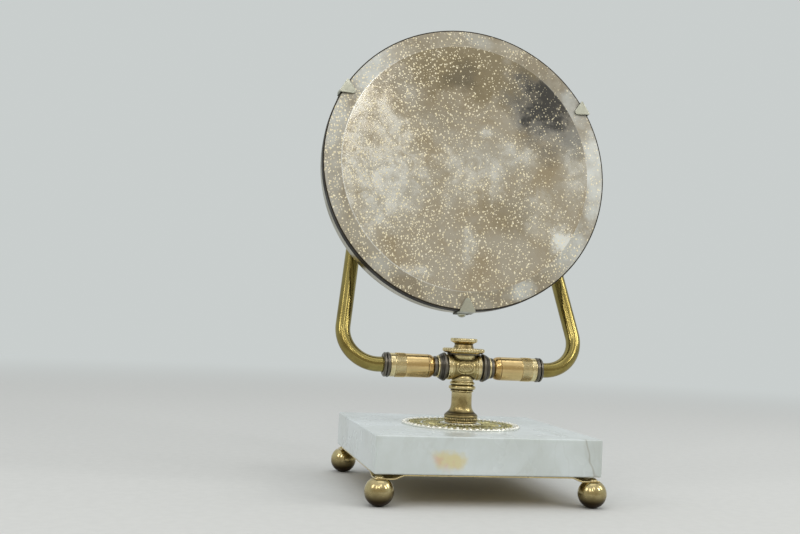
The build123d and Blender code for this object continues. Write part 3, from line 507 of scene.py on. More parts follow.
def turnOutline(corners, origin=(0, 0, 0), axis=(0, 0, 1), segments=96, closed=True, ripple=None,
                shape=None, up=None):
    # Turns an outline of (along, radius, rounding) about an axis, as on a lathe. A ripple function adds to
    # the radius and to the darkening at each point.
    points = roundCorners(corners, closed)
    hollows, lengths = measureHollows(points, closed)
    axis = Vector(axis).normalized()
    first = Vector(up) if up else (Vector((0, 0, 1)) if abs(axis.z) < 0.7 else Vector((1, 0, 0)))
    first = (first - axis * first.dot(axis)).normalized()
    second = axis.cross(first)
    origin = Vector(origin)
    shape = shape or bmesh.new()
    hollowShadeLayer = shape.verts.layers.float.get("hollow") or shape.verts.layers.float.new("hollow")
    turning = shape.loops.layers.uv.get("turning") or shape.loops.layers.uv.new("turning")
    rings = []
    for number in range(segments):
        angle = 2 * math.pi * number / segments
        spoke = first * math.cos(angle) + second * math.sin(angle)
        column = []
        for point, hollow in zip(points, hollows):
            along, radius, darker = point.x, point.y, hollow
            if ripple:
                change, shade = ripple(along, radius, angle)
                radius += change
                darker += shade
            vert = shape.verts.new((origin + axis * along + spoke * radius) * mm)
            vert[hollowShadeLayer] = darker
            column.append(vert)
        rings.append(column)
    count = len(points)
    for number in range(segments):
        here, there = rings[number], rings[(number + 1) % segments]
        for step in range(count if closed else count - 1):
            after = (step + 1) % count
            face = shape.faces.new((here[step], there[step], there[after], here[after]))
            ends = (lengths[step], lengths[step], lengths[step + 1], lengths[step + 1])
            for loop, turns, far in zip(face.loops, (0, 1, 1, 0), ends):
                loop[turning].uv = ((number + turns) / segments, far * mm)
    return shape


def turnedPiece(name, corners, body, slot, replaced, **options):
    return makePiece(name, turnOutline(corners, **options), body, slot, replaced)


def markHollows(mesh, depth, rounds=10):
    # The same for any mesh: points that lie under the mean of their neighbours are hollow
    shape = bmesh.new()
    shape.from_mesh(mesh)
    layer = shape.verts.layers.float.get("hollow") or shape.verts.layers.float.new("hollow")
    shape.verts.ensure_lookup_table()
    shape.normal_update()
    before = [vert.co.copy() for vert in shape.verts]
    links = [[edge.other_vert(vert).index for edge in vert.link_edges] for vert in shape.verts]
    places = list(before)
    for number in range(rounds):
        places = [sum((places[k] for k in near), Vector()) / len(near) if near else place
                  for near, place in zip(links, places)]
    for vert, place, start in zip(shape.verts, places, before):
        vert[layer] = (place - start).dot(vert.normal) / (depth * mm)
    shape.to_mesh(mesh)
    shape.free()


def cadCopy(node, soften, segments=2, crease=28):
    # A merged copy of a CAD node's mesh, with its arrises softened
    shape = bmesh.new()
    shape.from_mesh(nodes[node].data)
    bmesh.ops.remove_doubles(shape, verts=shape.verts, dist=2e-6)
    bmesh.ops.dissolve_limit(shape, angle_limit=math.radians(1.5), verts=shape.verts, edges=shape.edges)
    crease = math.radians(crease)
    sharp = [edge for edge in shape.edges if len(edge.link_faces) == 2
             and edge.calc_face_angle(0) > crease]
    bmesh.ops.bevel(shape, geom=sharp, offset=soften * mm, offset_type="OFFSET", segments=segments,
                    profile=0.6, affect="EDGES", clamp_overlap=True)
    return shape


def softCopy(name, node, body, slot, soften, **options):
    mesh = toMesh(name, cadCopy(node, soften, **options))
    return finishPiece(newPiece(name, mesh), body, slot, node)


def settle(piece):
    # Applies live modifiers, so that what follows sees the plain mesh
    evaluated = piece.evaluated_get(bpy.context.evaluated_depsgraph_get())
    mesh = bpy.data.meshes.new_from_object(evaluated)
    piece.modifiers.clear()
    piece.data = mesh
    return mesh


# Geometry Nodes helpers


def startTree(name, sizes):
    tree = bpy.data.node_groups.new(name, "GeometryNodeTree")
    tree.interface.new_socket("Geometry", in_out="INPUT", socket_type="NodeSocketGeometry")
    for label, value in sizes.items():
        kind = "NodeSocketInt" if isinstance(value, int) else "NodeSocketFloat"
        tree.interface.new_socket(label, in_out="INPUT", socket_type=kind)
    tree.interface.new_socket("Geometry", in_out="OUTPUT", socket_type="NodeSocketGeometry")
    return tree, addNode(tree, "NodeGroupInput").outputs


def endTree(tree, branches, material):
    joined = tree.nodes.new("GeometryNodeJoinGeometry")
    for branch in branches:
        tree.links.new(branch, joined.inputs[0])
    real = addNode(tree, "GeometryNodeRealizeInstances", {"Geometry": joined.outputs[0]})
    painted = addNode(tree, "GeometryNodeSetMaterial",
                      {"Geometry": real.outputs[0], "Material": material})
    addNode(tree, "NodeGroupOutput", {"Geometry": painted.outputs[0]})


def growMesh(name, tree, sizes, base=None):
    piece = newPiece(name, base or bpy.data.meshes.new(name))
    modifier = piece.modifiers.new(name, "NODES")
    modifier.node_group = tree
    for item in tree.interface.items_tree:
        if item.in_out == "INPUT" and item.name in sizes:
            modifier[item.identifier] = sizes[item.name]
    bpy.context.view_layer.update()
    mesh = settle(piece)
    mesh.polygons.foreach_set("use_smooth", [True] * len(mesh.polygons))
    return piece


def spareUnit(name, shape):
    unit = newPiece(name, toMesh(name, shape))
    spareObjects.append(unit)
    return unit


def ringBranch(tree, unit, count, radius, height, turn=0.0):
    # Copies of a unit round the Z axis, the unit's X pointing outwards
    circle = addNode(tree, "GeometryNodeMeshCircle", {"Vertices": count, "Radius": radius})
    spot = addNode(tree, "GeometryNodeInputPosition").outputs[0]
    facing = addNode(tree, "FunctionNodeAlignRotationToVector", {"Vector": spot}, axis="X",
                     pivot_axis="Z").outputs[0]
    source = addNode(tree, "GeometryNodeObjectInfo", {"Object": unit}).outputs["Geometry"]
    values = {"Points": circle.outputs[0], "Instance": source, "Rotation": facing}
    copies = addNode(tree, "GeometryNodeInstanceOnPoints", values).outputs[0]
    shift = addNode(tree, "ShaderNodeCombineXYZ", {"Z": height}).outputs[0]
    values = {"Geometry": copies, "Translation": shift, "Rotation": (0.0, 0.0, turn)}
    return addNode(tree, "GeometryNodeTransform", values).outputs[0]


def placeCopies(name, unit, spots, material):
    # Copies of a unit at given places: each is a point, the way its Z faces, and a spin about it
    sizes = {"Size": 1.0}
    tree, start = startTree(name + "Tree", sizes)
    turns = addNode(tree, "GeometryNodeInputNamedAttribute", {"Name": "turn"},
                    data_type="FLOAT_VECTOR").outputs[0]
    source = addNode(tree, "GeometryNodeObjectInfo", {"Object": unit}).outputs["Geometry"]
    values = {"Points": start["Geometry"], "Instance": source, "Rotation": turns, "Scale": start["Size"]}
    copies = addNode(tree, "GeometryNodeInstanceOnPoints", values).outputs[0]
    endTree(tree, [copies], material)
    base = bpy.data.meshes.new(name)
    base.from_pydata([point for point, facing, spin in spots], [], [])
    layer = base.attributes.new("turn", "FLOAT_VECTOR", "POINT")
    for item, (point, facing, spin) in zip(layer.data, spots):
        turn = Vector(facing).to_track_quat("Z", "Y").to_matrix() @ Matrix.Rotation(spin, 3, "Z")
        item.vector = turn.to_euler()
    return growMesh(name, tree, sizes, base)


def cutSlot(shape, halfWidth, floor, wall=0.05, shade=0.8):
    # Lowers a narrow strip of a screw head to make its slot, with painted shade on the slot's floor
    normal = Vector((0, 1, 0))
    for offset in (halfWidth, halfWidth - wall, wall - halfWidth, -halfWidth):
        geometry = shape.verts[:] + shape.edges[:] + shape.faces[:]
        bmesh.ops.bisect_plane(shape, geom=geometry, plane_co=normal * offset * mm, plane_no=normal,
                               dist=1e-7)
    for vert in shape.verts:
        if abs(vert.co.y) < (halfWidth - wall * 0.6) * mm and vert.co.z > floor * mm:
            vert.co.z = floor * mm
            vert[shape.verts.layers.float["hollow"]] = shade


def slottedScrew(name, screw):
    # A domed head above nought and a plain shank below it
    radius, thick, shank, below = (screw[key] for key in ("radius", "thick", "shank", "below"))
    corners = [(-below, 0), (-below, shank, 0.3), (0, shank), (0, radius, 0.25),
               (thick * 0.35, radius, 0.5), (thick * 0.85, radius * 0.62, 0.8), (thick, 0)]
    shape = turnOutline(corners, segments=40, closed=False)
    bmesh.ops.remove_doubles(shape, verts=shape.verts, dist=1e-7)
    cutSlot(shape, screw["slotHalf"], thick - screw["slotDeep"])
    return spareUnit(name, shape)


def hexNut(origin, axis, nut):
    # A chamfered round with its sides cut back to the six flats
    thick, bore, chamfer, spin = (nut[key] for key in ("thick", "bore", "chamfer", "spin"))
    half = nut["across"] / 2
    corners = [(0, bore + 0.4), (0, half * 0.96), (chamfer * 0.35, half * 1.02), (chamfer, half * 1.16),
               (thick - chamfer, half * 1.16), (thick - chamfer * 0.35, half * 1.02),
               (thick, half * 0.96), (thick, bore + 0.4), (thick - 0.5, bore), (0.5, bore)]

    def hexagon(along, radius, angle):
        if radius < half * 0.9:
            return 0.0, 0.0
        flat = half / math.cos((angle + spin) % (math.pi / 3) - math.pi / 6)
        return min(radius, flat) - radius, 0.0

    return turnOutline(corners, origin=origin, axis=axis, segments=96, ripple=hexagon)


# Camera, floor, room and lamps

photoView = {
    "place": (-199.14, -699.31, 114.58), "across": 12.08, "rise": 3.25, "roll": 2.68, "lens": 45.36,
    "sensor": 36.0,
}


def setCamera(view):
    data = bpy.data.cameras.new("photoCamera")
    data.lens = view["lens"]
    data.sensor_width = view["sensor"]
    data.clip_start = 0.01
    camera = newPiece("photoCamera", data)
    across, rise, roll = (math.radians(view[key]) for key in ("across", "rise", "roll"))
    ahead = Vector((math.sin(across) * math.cos(rise), math.cos(across) * math.cos(rise), math.sin(rise)))
    right = Vector((math.cos(across), -math.sin(across), 0))
    up = right.cross(ahead)
    rolledRight = right * math.cos(roll) + up * math.sin(roll)
    rolledUp = up * math.cos(roll) - right * math.sin(roll)
    matrix = Matrix((rolledRight, rolledUp, -ahead)).transposed().to_4x4()
    matrix.translation = Vector(view["place"]) * mm
    camera.matrix_world = matrix
    bpy.context.scene.camera = camera


room = {
    "far": (200, 205, 204), "near": (178, 172, 158), "above": (232, 234, 236),
    "toViewer": (-0.27, -0.96, 0.0), "wallSpan": (0.05, 0.85), "aboveSpan": (0.42, 0.85),
    "floor": (206, 207, 205), "floorDeep": (203, 204, 202), "floorRadius": 9.0, "grainScale": 140.0,
    "rough": 0.85, "shine": 0.1, "fadeSpan": (0.7, 1.9),
}


def roomColour(tree, direction):
    # Pale wall beyond the object, a warmer and darker room behind the viewer, light above
    values = {0: direction, 1: room["toViewer"]}
    facing = addNode(tree, "ShaderNodeVectorMath", values, operation="DOT_PRODUCT").outputs["Value"]
    height = addNode(tree, "ShaderNodeSeparateXYZ", {0: direction}).outputs[2]
    wall = mixColour(tree, spread(tree, facing, *room["wallSpan"]), paint(room["far"]),
                     paint(room["near"]))
    return mixColour(tree, spread(tree, height, *room["aboveSpan"]), wall, paint(room["above"]))


def buildRoom():
    world = bpy.data.worlds.new("paleRoom")
    bpy.context.scene.world = world
    world.use_nodes = True
    tree = world.node_tree
    tree.nodes.clear()
    direction = addNode(tree, "ShaderNodeTexCoord").outputs["Generated"]
    glow = addNode(tree, "ShaderNodeBackground", {"Color": roomColour(tree, direction), "Strength": 1.0})
    addNode(tree, "ShaderNodeOutputWorld", {"Surface": glow.outputs[0]})
    shape = bmesh.new()
    bmesh.ops.create_circle(shape, cap_ends=True, radius=room["floorRadius"], segments=128)
    floor = newPiece("paleFloor", toMesh("paleFloor", shape, tidy=False))
    constants = {"Roughness": room["rough"], "Specular IOR Level": room["shine"]}
    material, tree, shader, place = newMaterial("paleFloor", constants)
    grainy = spread(tree, cloud(tree, place, room["grainScale"], 3.0), 0.3, 0.7)
    colour = mixColour(tree, grainy, paint(room["floor"]), paint(room["floorDeep"]))
    tree.links.new(colour, shader.inputs["Base Color"])
    # Far out the floor takes the colour of the room behind it, so that no horizon shows
    outwards = addNode(tree, "ShaderNodeVectorMath", {0: place}, operation="NORMALIZE").outputs[0]
    glow = addNode(tree, "ShaderNodeEmission", {"Color": roomColour(tree, outwards)})
    fade = spread(tree, lengthOf(tree, place), *room["fadeSpan"])
    both = addNode(tree, "ShaderNodeMixShader", {0: fade, 1: shader.outputs[0], 2: glow.outputs[0]})
    output = next(node for node in tree.nodes if node.type == "OUTPUT_MATERIAL")
    tree.links.new(both.outputs[0], output.inputs[0])
    floor.data.materials.append(material)


# Tall soft panes round the viewer's side, as from a bay of windows: turn from the front, rise, width and
# power. Lamp sizes and places are in metres.
lampPlan = {
    "aim": (0.0, 0.0, 0.12), "distance": 1.35, "tall": 0.46, "colour": (1.0, 0.98, 0.95),
    "topSize": 1.1, "topPower": 3.0, "topPlace": (0.15, 0.1, 1.7),
    "panes": ((-72, 31, 0.22, 1.6), (-38, 31, 0.10, 1.2), (-16, 33, 0.08, 1.0), (3, 45, 0.10, 0.7),
              (46, 31, 0.12, 1.8), (74, 31, 0.22, 2.4)),
}


def hangLamps(plan):
    aim = Vector(plan["aim"])
    for number, (turn, lift, wide, power) in enumerate(plan["panes"]):
        data = bpy.data.lights.new(f"pane{number}", "AREA")
        data.shape = "RECTANGLE"
        data.size = wide
        data.size_y = plan["tall"]
        data.energy = power
        data.color = plan["colour"]
        lamp = newPiece(f"pane{number}", data)
        side, rise = math.radians(turn), math.radians(lift)
        away = Vector((math.sin(side) * math.cos(rise), -math.cos(side) * math.cos(rise), math.sin(rise)))
        lamp.location = aim + away * plan["distance"]
        lamp.rotation_euler = away.to_track_quat("Z", "Y").to_euler()
        lamp.visible_camera = False
    data = bpy.data.lights.new("softTop", "AREA")
    data.size = plan["topSize"]
    data.energy = plan["topPower"]
    lamp = newPiece("softTop", data)
    lamp.location = plan["topPlace"]
    lamp.visible_camera = False


setCamera(photoView)
buildRoom()
hangLamps(lampPlan)
bpy.context.scene.view_settings.view_transform = "Standard"
print("camera, floor and lamps set")

# Base: slab, plate, feet, what is under them, and the rod


def makeSlab():
    slab = {"side": 152.4, "bottom": 20.4, "top": 44.9, "corner": 1.6, "arris": 1.1, "steps": 4,
            "cuts": 56, "wear": 0.45, "wearSize": 7.0, "fineWear": 0.3, "slanted": 0.985}
    shape = bmesh.new()
    bmesh.ops.create_cube(shape, size=1.0)
    tall = slab["top"] - slab["bottom"]
    for vert in shape.verts:
        height = vert.co.z * tall + slab["bottom"] + tall / 2
        vert.co = Vector((vert.co.x * slab["side"], vert.co.y * slab["side"], height)) * mm

    def rise(edge):
        return abs(edge.verts[0].co.z - edge.verts[1].co.z)

    upright = [edge for edge in shape.edges if rise(edge) > mm]
    rounding = {"segments": slab["steps"], "profile": 0.5, "affect": "EDGES"}
    bmesh.ops.bevel(shape, geom=upright, offset=slab["corner"] * mm, **rounding)
    level = [edge for edge in shape.edges if rise(edge) < 1e-7 and edge.calc_face_angle(0) > 1]
    bmesh.ops.bevel(shape, geom=level, offset=slab["arris"] * mm, **rounding)
    longEdges = [edge for edge in shape.edges if edge.calc_length() > 100 * mm]
    bmesh.ops.subdivide_edges(shape, edges=longEdges, cuts=slab["cuts"], use_grid_fill=True)
    shape.normal_update()
    # Only points on a rounded arris wear away, never those of the flat faces
    half = slab["side"] / 2 * mm
    corner, arris = slab["corner"] * mm * 0.98, slab["arris"] * mm * 0.98
    coarse = slab["wearSize"] * mm
    fine = coarse * slab["fineWear"]
    for vert in shape.verts:
        near = [half - abs(vert.co.x) < corner, half - abs(vert.co.y) < corner,
                slab["top"] * mm - vert.co.z < arris]
        if sum(near) >= 2 and max(abs(part) for part in vert.normal) < slab["slanted"]:
            chip = noise.noise(vert.co / coarse) * 0.5 + noise.noise(vert.co / fine) * 0.3
            vert.co -= vert.normal * max(0.0, chip) * slab["wear"] * mm
    makePiece("marbleSlab", shape, "base", "marble", "marble_slab")


def makeBasePlate():
    # Its corners are pressed down to the feet, between two diagonal distances from the middle
    plate = {"side": 150.4, "top": 20.4, "thick": 1.0, "drop": 2.4, "rampFrom": 92.2, "rampTo": 97.6,
             "cells": 110, "edge": 0.22, "edgeShade": -0.5}
    shape = bmesh.new()
    hollow = shape.verts.layers.float.new("hollow")
    count = plate["cells"]
    half = plate["side"] / 2

    def heightAt(x, y):
        diagonal = (abs(x) + abs(y)) / math.sqrt(2)
        t = min(max((diagonal - plate["rampFrom"]) / (plate["rampTo"] - plate["rampFrom"]), 0), 1)
        return plate["top"] - plate["drop"] * t * t * (3 - 2 * t)

    def sheet(lower, inset):
        rows = []
        for row in range(count + 1):
            line = []
            for column in range(count + 1):
                x = (column / count * 2 - 1) * (half - inset)
                y = (row / count * 2 - 1) * (half - inset)
                vert = shape.verts.new(Vector((x, y, heightAt(x, y) - lower)) * mm)
                vert[hollow] = 0.0
                line.append(vert)
            rows.append(line)
        return rows

    def outer(rows):
        return (rows[0] + [rows[k][count] for k in range(1, count + 1)] + rows[count][count - 1::-1]
                + [rows[k][0] for k in range(count - 1, 0, -1)])

    upper = sheet(0.0, plate["edge"])
    lower = sheet(plate["thick"], plate["edge"])
    for rows, flip in ((upper, False), (lower, True)):
        for row in range(count):
            for column in range(count):
                corners = [rows[row][column], rows[row][column + 1], rows[row + 1][column + 1],
                           rows[row + 1][column]]
                shape.faces.new(reversed(corners) if flip else corners)
    # The rolled edge carries painted light, as edgeShade below nought
    loops = [outer(upper)]
    grow = half / (half - plate["edge"])
    for part in (0.25, 0.75):
        loop = []
        for top, bottom in zip(outer(upper), outer(lower)):
            spot = top.co.lerp(bottom.co, part)
            vert = shape.verts.new((spot.x * grow, spot.y * grow, spot.z))
            vert[hollow] = plate["edgeShade"]
            loop.append(vert)
        loops.append(loop)
    loops.append(outer(lower))
    for first, second in zip(loops, loops[1:]):
        for k in range(len(first)):
            after = (k + 1) % len(first)
            shape.faces.new((first[k], first[after], second[after], second[k]))
    makePiece("basePlate", shape, "base", "plate_brass", "base_plate")


def makeFeet():
    # Balls with a worn flat below and a cut seat above, with a painted dark reflection towards the table
    # and painted shade at the seat
    foot = {"radius": 9.5, "flat": 0.2, "seat": 17.0, "reach": 71.5, "rings": 30, "dent": 0.03,
            "dentSize": 5.0, "shadeTo": 15.0, "shade": 0.8, "seatShadeFrom": 16.1, "seatShade": 0.3}
    middle = foot["radius"] - foot["flat"]
    seatRadius = math.sqrt(foot["radius"] ** 2 - (foot["seat"] - middle) ** 2)
    low = math.asin(-middle / foot["radius"])
    high = math.asin((foot["seat"] - middle) / foot["radius"])
    corners = [(0.0, 0.0)]
    for step in range(foot["rings"] + 1):
        turn = low + (high - low) * step / foot["rings"]
        corners.append((middle + foot["radius"] * math.sin(turn), foot["radius"] * math.cos(turn)))
    corners += [(foot["seat"], seatRadius - 0.5), (foot["seat"], 0.0)]
    for depthName, depthSide in (("front", -1), ("back", 1)):
        for sideName, side in sides.items():
            origin = Vector((side * foot["reach"], depthSide * foot["reach"], 0.0))

            def polishDentsAndShade(along, radius, angle):
                spot = Vector((radius * math.cos(angle), radius * math.sin(angle), along)) + origin
                # Painted dark reflection towards the table and painted shade at the seat, carried as
                # darkening
                grime = foot["shade"] * min(max(1 - along / foot["shadeTo"], 0), 1)
                grime += foot["seatShade"] if along > foot["seatShadeFrom"] else 0.0
                return -abs(noise.noise(spot / foot["dentSize"])) * foot["dent"], grime

            shape = turnOutline(corners, origin=origin, segments=72, closed=False, ripple=polishDentsAndShade)
            name = "ballFoot" + depthName.title() + sideName.title()
            makePiece(name, shape, "base", "foot_brass", f"foot_{depthName}_{sideName}")


def makeUnderside():
    rivet = {"radius": 3.2, "thick": 1.8, "shank": 1.5, "below": 6.0, "seat": 18.0, "reach": 71.5}
    corners = [(-rivet["below"], 0), (-rivet["below"], rivet["shank"]), (0, rivet["shank"]),
               (0, rivet["radius"], 0.2), (0.5, rivet["radius"] * 0.95, 0.5),
               (1.4, rivet["radius"] * 0.6, 0.7), (rivet["thick"], 0)]
    unit = spareUnit("rivetUnit", turnOutline(corners, segments=32, closed=False))
    reach = rivet["reach"] * mm
    spots = [(Vector((x * reach, y * reach, rivet["seat"] * mm)), (0, 0, 1), 0.0) for x in (-1, 1)
             for y in (-1, 1)]
    rivets = placeCopies("footRivets", unit, spots, finishes["plate_brass"])
    finishPiece(rivets, "base", "plate_brass", "foot_rivets")
    corners = [(18.2, 5.3), (18.2, 13.0, 0.5), (19.4, 13.0, 0.35), (19.4, 5.3)]
    turnedPiece("baseWasher", corners, "base", "steel", "base_washer")
    nut = {"bottom": 13.2, "across": 19.0, "thick": 5.0, "bore": 4.85, "chamfer": 1.4, "spin": 0.35}
    makePiece("baseNut", hexNut((0, 0, nut["bottom"]), (0, 0, 1), nut), "base", "steel", "base_nut")


def makeRod():
    rod = {"bottom": 12.4, "top": 104.5, "outer": 4.8, "core": 4.45, "pitch": 1.05, "perTurn": 30,
           "plainBelow": 1.0, "plainAbove": 1.4}
    corners = [(rod["bottom"], 0), (rod["bottom"], rod["core"] - 0.3, 0.1),
               (rod["bottom"] + 0.5, rod["core"], 0.1), (rod["top"] - 0.5, rod["core"], 0.1),
               (rod["top"], rod["core"] - 0.3, 0.1), (rod["top"], 0)]
    core = toMesh("rodCore", turnOutline(corners, segments=48, closed=False))
    length = rod["top"] - rod["bottom"] - rod["plainBelow"] - rod["plainAbove"]
    sizes = {"Turns": length / rod["pitch"], "Radius": (rod["core"] + 0.02) * mm, "Length": length * mm,
             "Start": (rod["bottom"] + rod["plainBelow"]) * mm,
             "Ridge": (rod["outer"] - rod["core"] - 0.04) * mm, "Per turn": rod["perTurn"]}
    tree, start = startTree("threadTree", sizes)
    values = {"Resolution": start["Per turn"], "Rotations": start["Turns"],
              "Start Radius": start["Radius"], "End Radius": start["Radius"], "Height": start["Length"]}
    helix = addNode(tree, "GeometryNodeCurveSpiral", values).outputs[0]
    values = {"Resolution": 4, "Radius": start["Ridge"]}
    section = addNode(tree, "GeometryNodeCurvePrimitiveCircle", values).outputs[0]
    values = {"Curve": helix, "Profile Curve": section, "Fill Caps": True}
    ridge = addNode(tree, "GeometryNodeCurveToMesh", values).outputs[0]
    shift = addNode(tree, "ShaderNodeCombineXYZ", {"Z": start["Start"]}).outputs[0]
    ridge = addNode(tree, "GeometryNodeTransform", {"Geometry": ridge, "Translation": shift}).outputs[0]
    endTree(tree, [start["Geometry"], ridge], finishes["steel"])
    finishPiece(growMesh("threadedRod", tree, sizes, core), "base", "steel", "threaded_rod")


makeSlab()
makeBasePlate()
makeFeet()
makeUnderside()
makeRod()
print("base made")

# Pierced plate, stem and collar


# Across and up as shares of a strip's width and height, and how dark it is there: painted shade low on
# its sides where it meets its ground, painted light on its crown
stripSection = ((-0.5, 0.0, 0.9), (-0.5, 0.55, 0.4), (-0.28, 0.9, 0.0), (0.0, 1.0, -0.2),
                (0.28, 0.9, 0.0), (0.5, 0.55, 0.4), (0.5, 0.0, 0.9))


def strip(path, width, thick, closed=False):
    # A raised strip along a flat path: crowned on top, flat below
    shape = bmesh.new()
    hollow = shape.verts.layers.float.new("hollow")
    count = len(path)
    rows = []
    for index in range(count):
        before = path[(index - 1) % count] if closed or index > 0 else path[0]
        after = path[(index + 1) % count] if closed or index < count - 1 else path[-1]
        along = (after - before).normalized()
        spot = path[index]
        across = Vector((-along.y, along.x, 0))
        row = []
        for offset, height, shade in stripSection:
            point = Vector((spot.x, spot.y, 0)) + across * offset * width + Vector((0, 0, height * thick))
            vert = shape.verts.new(point * mm)
            vert[hollow] = shade
            row.append(vert)
        rows.append(row)
    last = count if closed else count - 1
    for index in range(last):
        here, there = rows[index], rows[(index + 1) % count]
        for k in range(len(stripSection)):
            after = (k + 1) % len(stripSection)
            shape.faces.new((here[k], there[k], there[after], here[after]))
    if not closed:
        shape.faces.new(rows[0])
        shape.faces.new(reversed(rows[-1]))
    return shape


def bead(radius, thick, wide=1.0, rings=6, segments=12, sideways=False, sink=0.55):
    # A flattened ball with a painted highlight on top, or on its outward side when sideways, and painted
    # shade, as dark as sink says, where it meets its ground
    shape = bmesh.new()
    bmesh.ops.create_uvsphere(shape, u_segments=segments, v_segments=rings, radius=1.0)
    hollow = shape.verts.layers.float.new("hollow")
    for vert in shape.verts:
        vert[hollow] = sink - 1.1 * ((vert.co.x if sideways else vert.co.z) * 0.5 + 0.5)
        vert.co = Vector((vert.co.x * radius, vert.co.y * radius * wide, vert.co.z * thick)) * mm
    return shape


def leafPath(length, width, steps=18, pointed=0.35):
    # A closed leaf outline along X, its tip outwards
    points = []
    for step in range(steps):
        turn = 2 * math.pi * step / steps
        half = width / 2 * (1 - pointed * math.cos(turn))
        points.append(Vector((math.cos(turn) * length / 2, math.sin(turn) * half)))
    return points


def scrollPath(size, turns=1.15, steps=22, flip=1, curl=0.72):
    # A spiral that winds in from its size by the share that curl gives
    points = []
    for step in range(steps + 1):
        part = step / steps
        angle = part * turns * 2 * math.pi
        radius = size * (1 - curl * part)
        points.append(Vector((math.cos(angle) * radius, math.sin(angle) * radius * flip)))
    return points


def makeLace():
    heights = {"low": 44.95, "high": 45.62, "pearls": 45.92, "bossPearls": 45.82}
    lace = {
        "Rim beads": 60, "Bead circle": 40.6, "Leaves": 24, "Leaf circle": 21.6, "Loops": 36,
        "Loop circle": 35.3, "Scrolls": 24, "Scroll circle": 30.6, "Pearls": 72, "Pearl circle": 37.6,
        "Boss pearls": 36, "Boss circle": 14.2, "Ribs": 24,
    }
    rings = [
        [(44.92, 38.3), (44.92, 42.3, 0.3), (45.9, 42.4, 0.4), (46.1, 41.2, 0.3), (46.0, 38.6, 0.3)],
        [(44.92, 27.6), (44.92, 28.9, 0.1), (45.9, 28.7, 0.35), (45.9, 27.8, 0.35)],
        [(44.92, 32.6), (44.92, 33.2, 0.1), (45.6, 33.1, 0.25), (45.6, 32.7, 0.25)],
        [(44.92, 5.2), (44.92, 14.9, 0.2), (45.7, 14.9, 0.3), (46.0, 13.4, 0.3), (46.78, 13.0, 0.3),
         (46.78, 5.2)],
    ]
    shape = bmesh.new()
    for outline in rings:
        turnOutline(outline, segments=144, shape=shape)
    base = toMesh("laceRings", shape)
    sizes = {key: (value if isinstance(value, int) else value * mm) for key, value in lace.items()}
    tree, start = startTree("laceTree", sizes)
    low, high, pearls, bossPearls = (height * mm for height in heights.values())
    ribPath = [Vector((-5.6 + k * 0.8, 0.12 * math.sin(k * 0.7))) for k in range(15)]
    units = {
        "rimBead": spareUnit("rimBead", bead(1.55, 1.15, 0.92, sink=0.3)),
        "leaf": spareUnit("leaf", strip(leafPath(11.4, 4.3), 0.75, 1.15, closed=True)),
        "rib": spareUnit("rib", strip(ribPath, 0.6, 1.3)),
        "loop": spareUnit("loop", strip(leafPath(4.5, 4.3, 14), 0.6, 1.05, closed=True)),
        "pearl": spareUnit("pearl", bead(0.62, 0.6, 1.0, 5, 8)),
        "scrollLeft": spareUnit("scrollLeft", strip(scrollPath(2.15), 0.55, 1.1)),
        "scrollRight": spareUnit("scrollRight", strip(scrollPath(2.15, flip=-1), 0.55, 1.1)),
    }
    halfStep = math.pi / lace["Leaves"]
    rows = (
        ("rimBead", "Rim beads", "Bead circle", high, 0.0), ("leaf", "Leaves", "Leaf circle", low, 0.0),
        ("rib", "Ribs", "Leaf circle", low, halfStep), ("loop", "Loops", "Loop circle", low, 0.0),
        ("pearl", "Pearls", "Pearl circle", pearls, 0.0),
        ("pearl", "Boss pearls", "Boss circle", bossPearls, 0.0),
        ("scrollLeft", "Scrolls", "Scroll circle", low, 0.0),
        ("scrollRight", "Scrolls", "Scroll circle", low, halfStep),
    )
    branches = [start["Geometry"]]
    for unit, count, circle, height, turn in rows:
        branches.append(ringBranch(tree, units[unit], start[count], start[circle], height, turn))
    endTree(tree, branches, finishes["filigree_brass"])
    finishPiece(growMesh("piercedPlate", tree, sizes, base), "base", "filigree_brass", "filigree_plate")


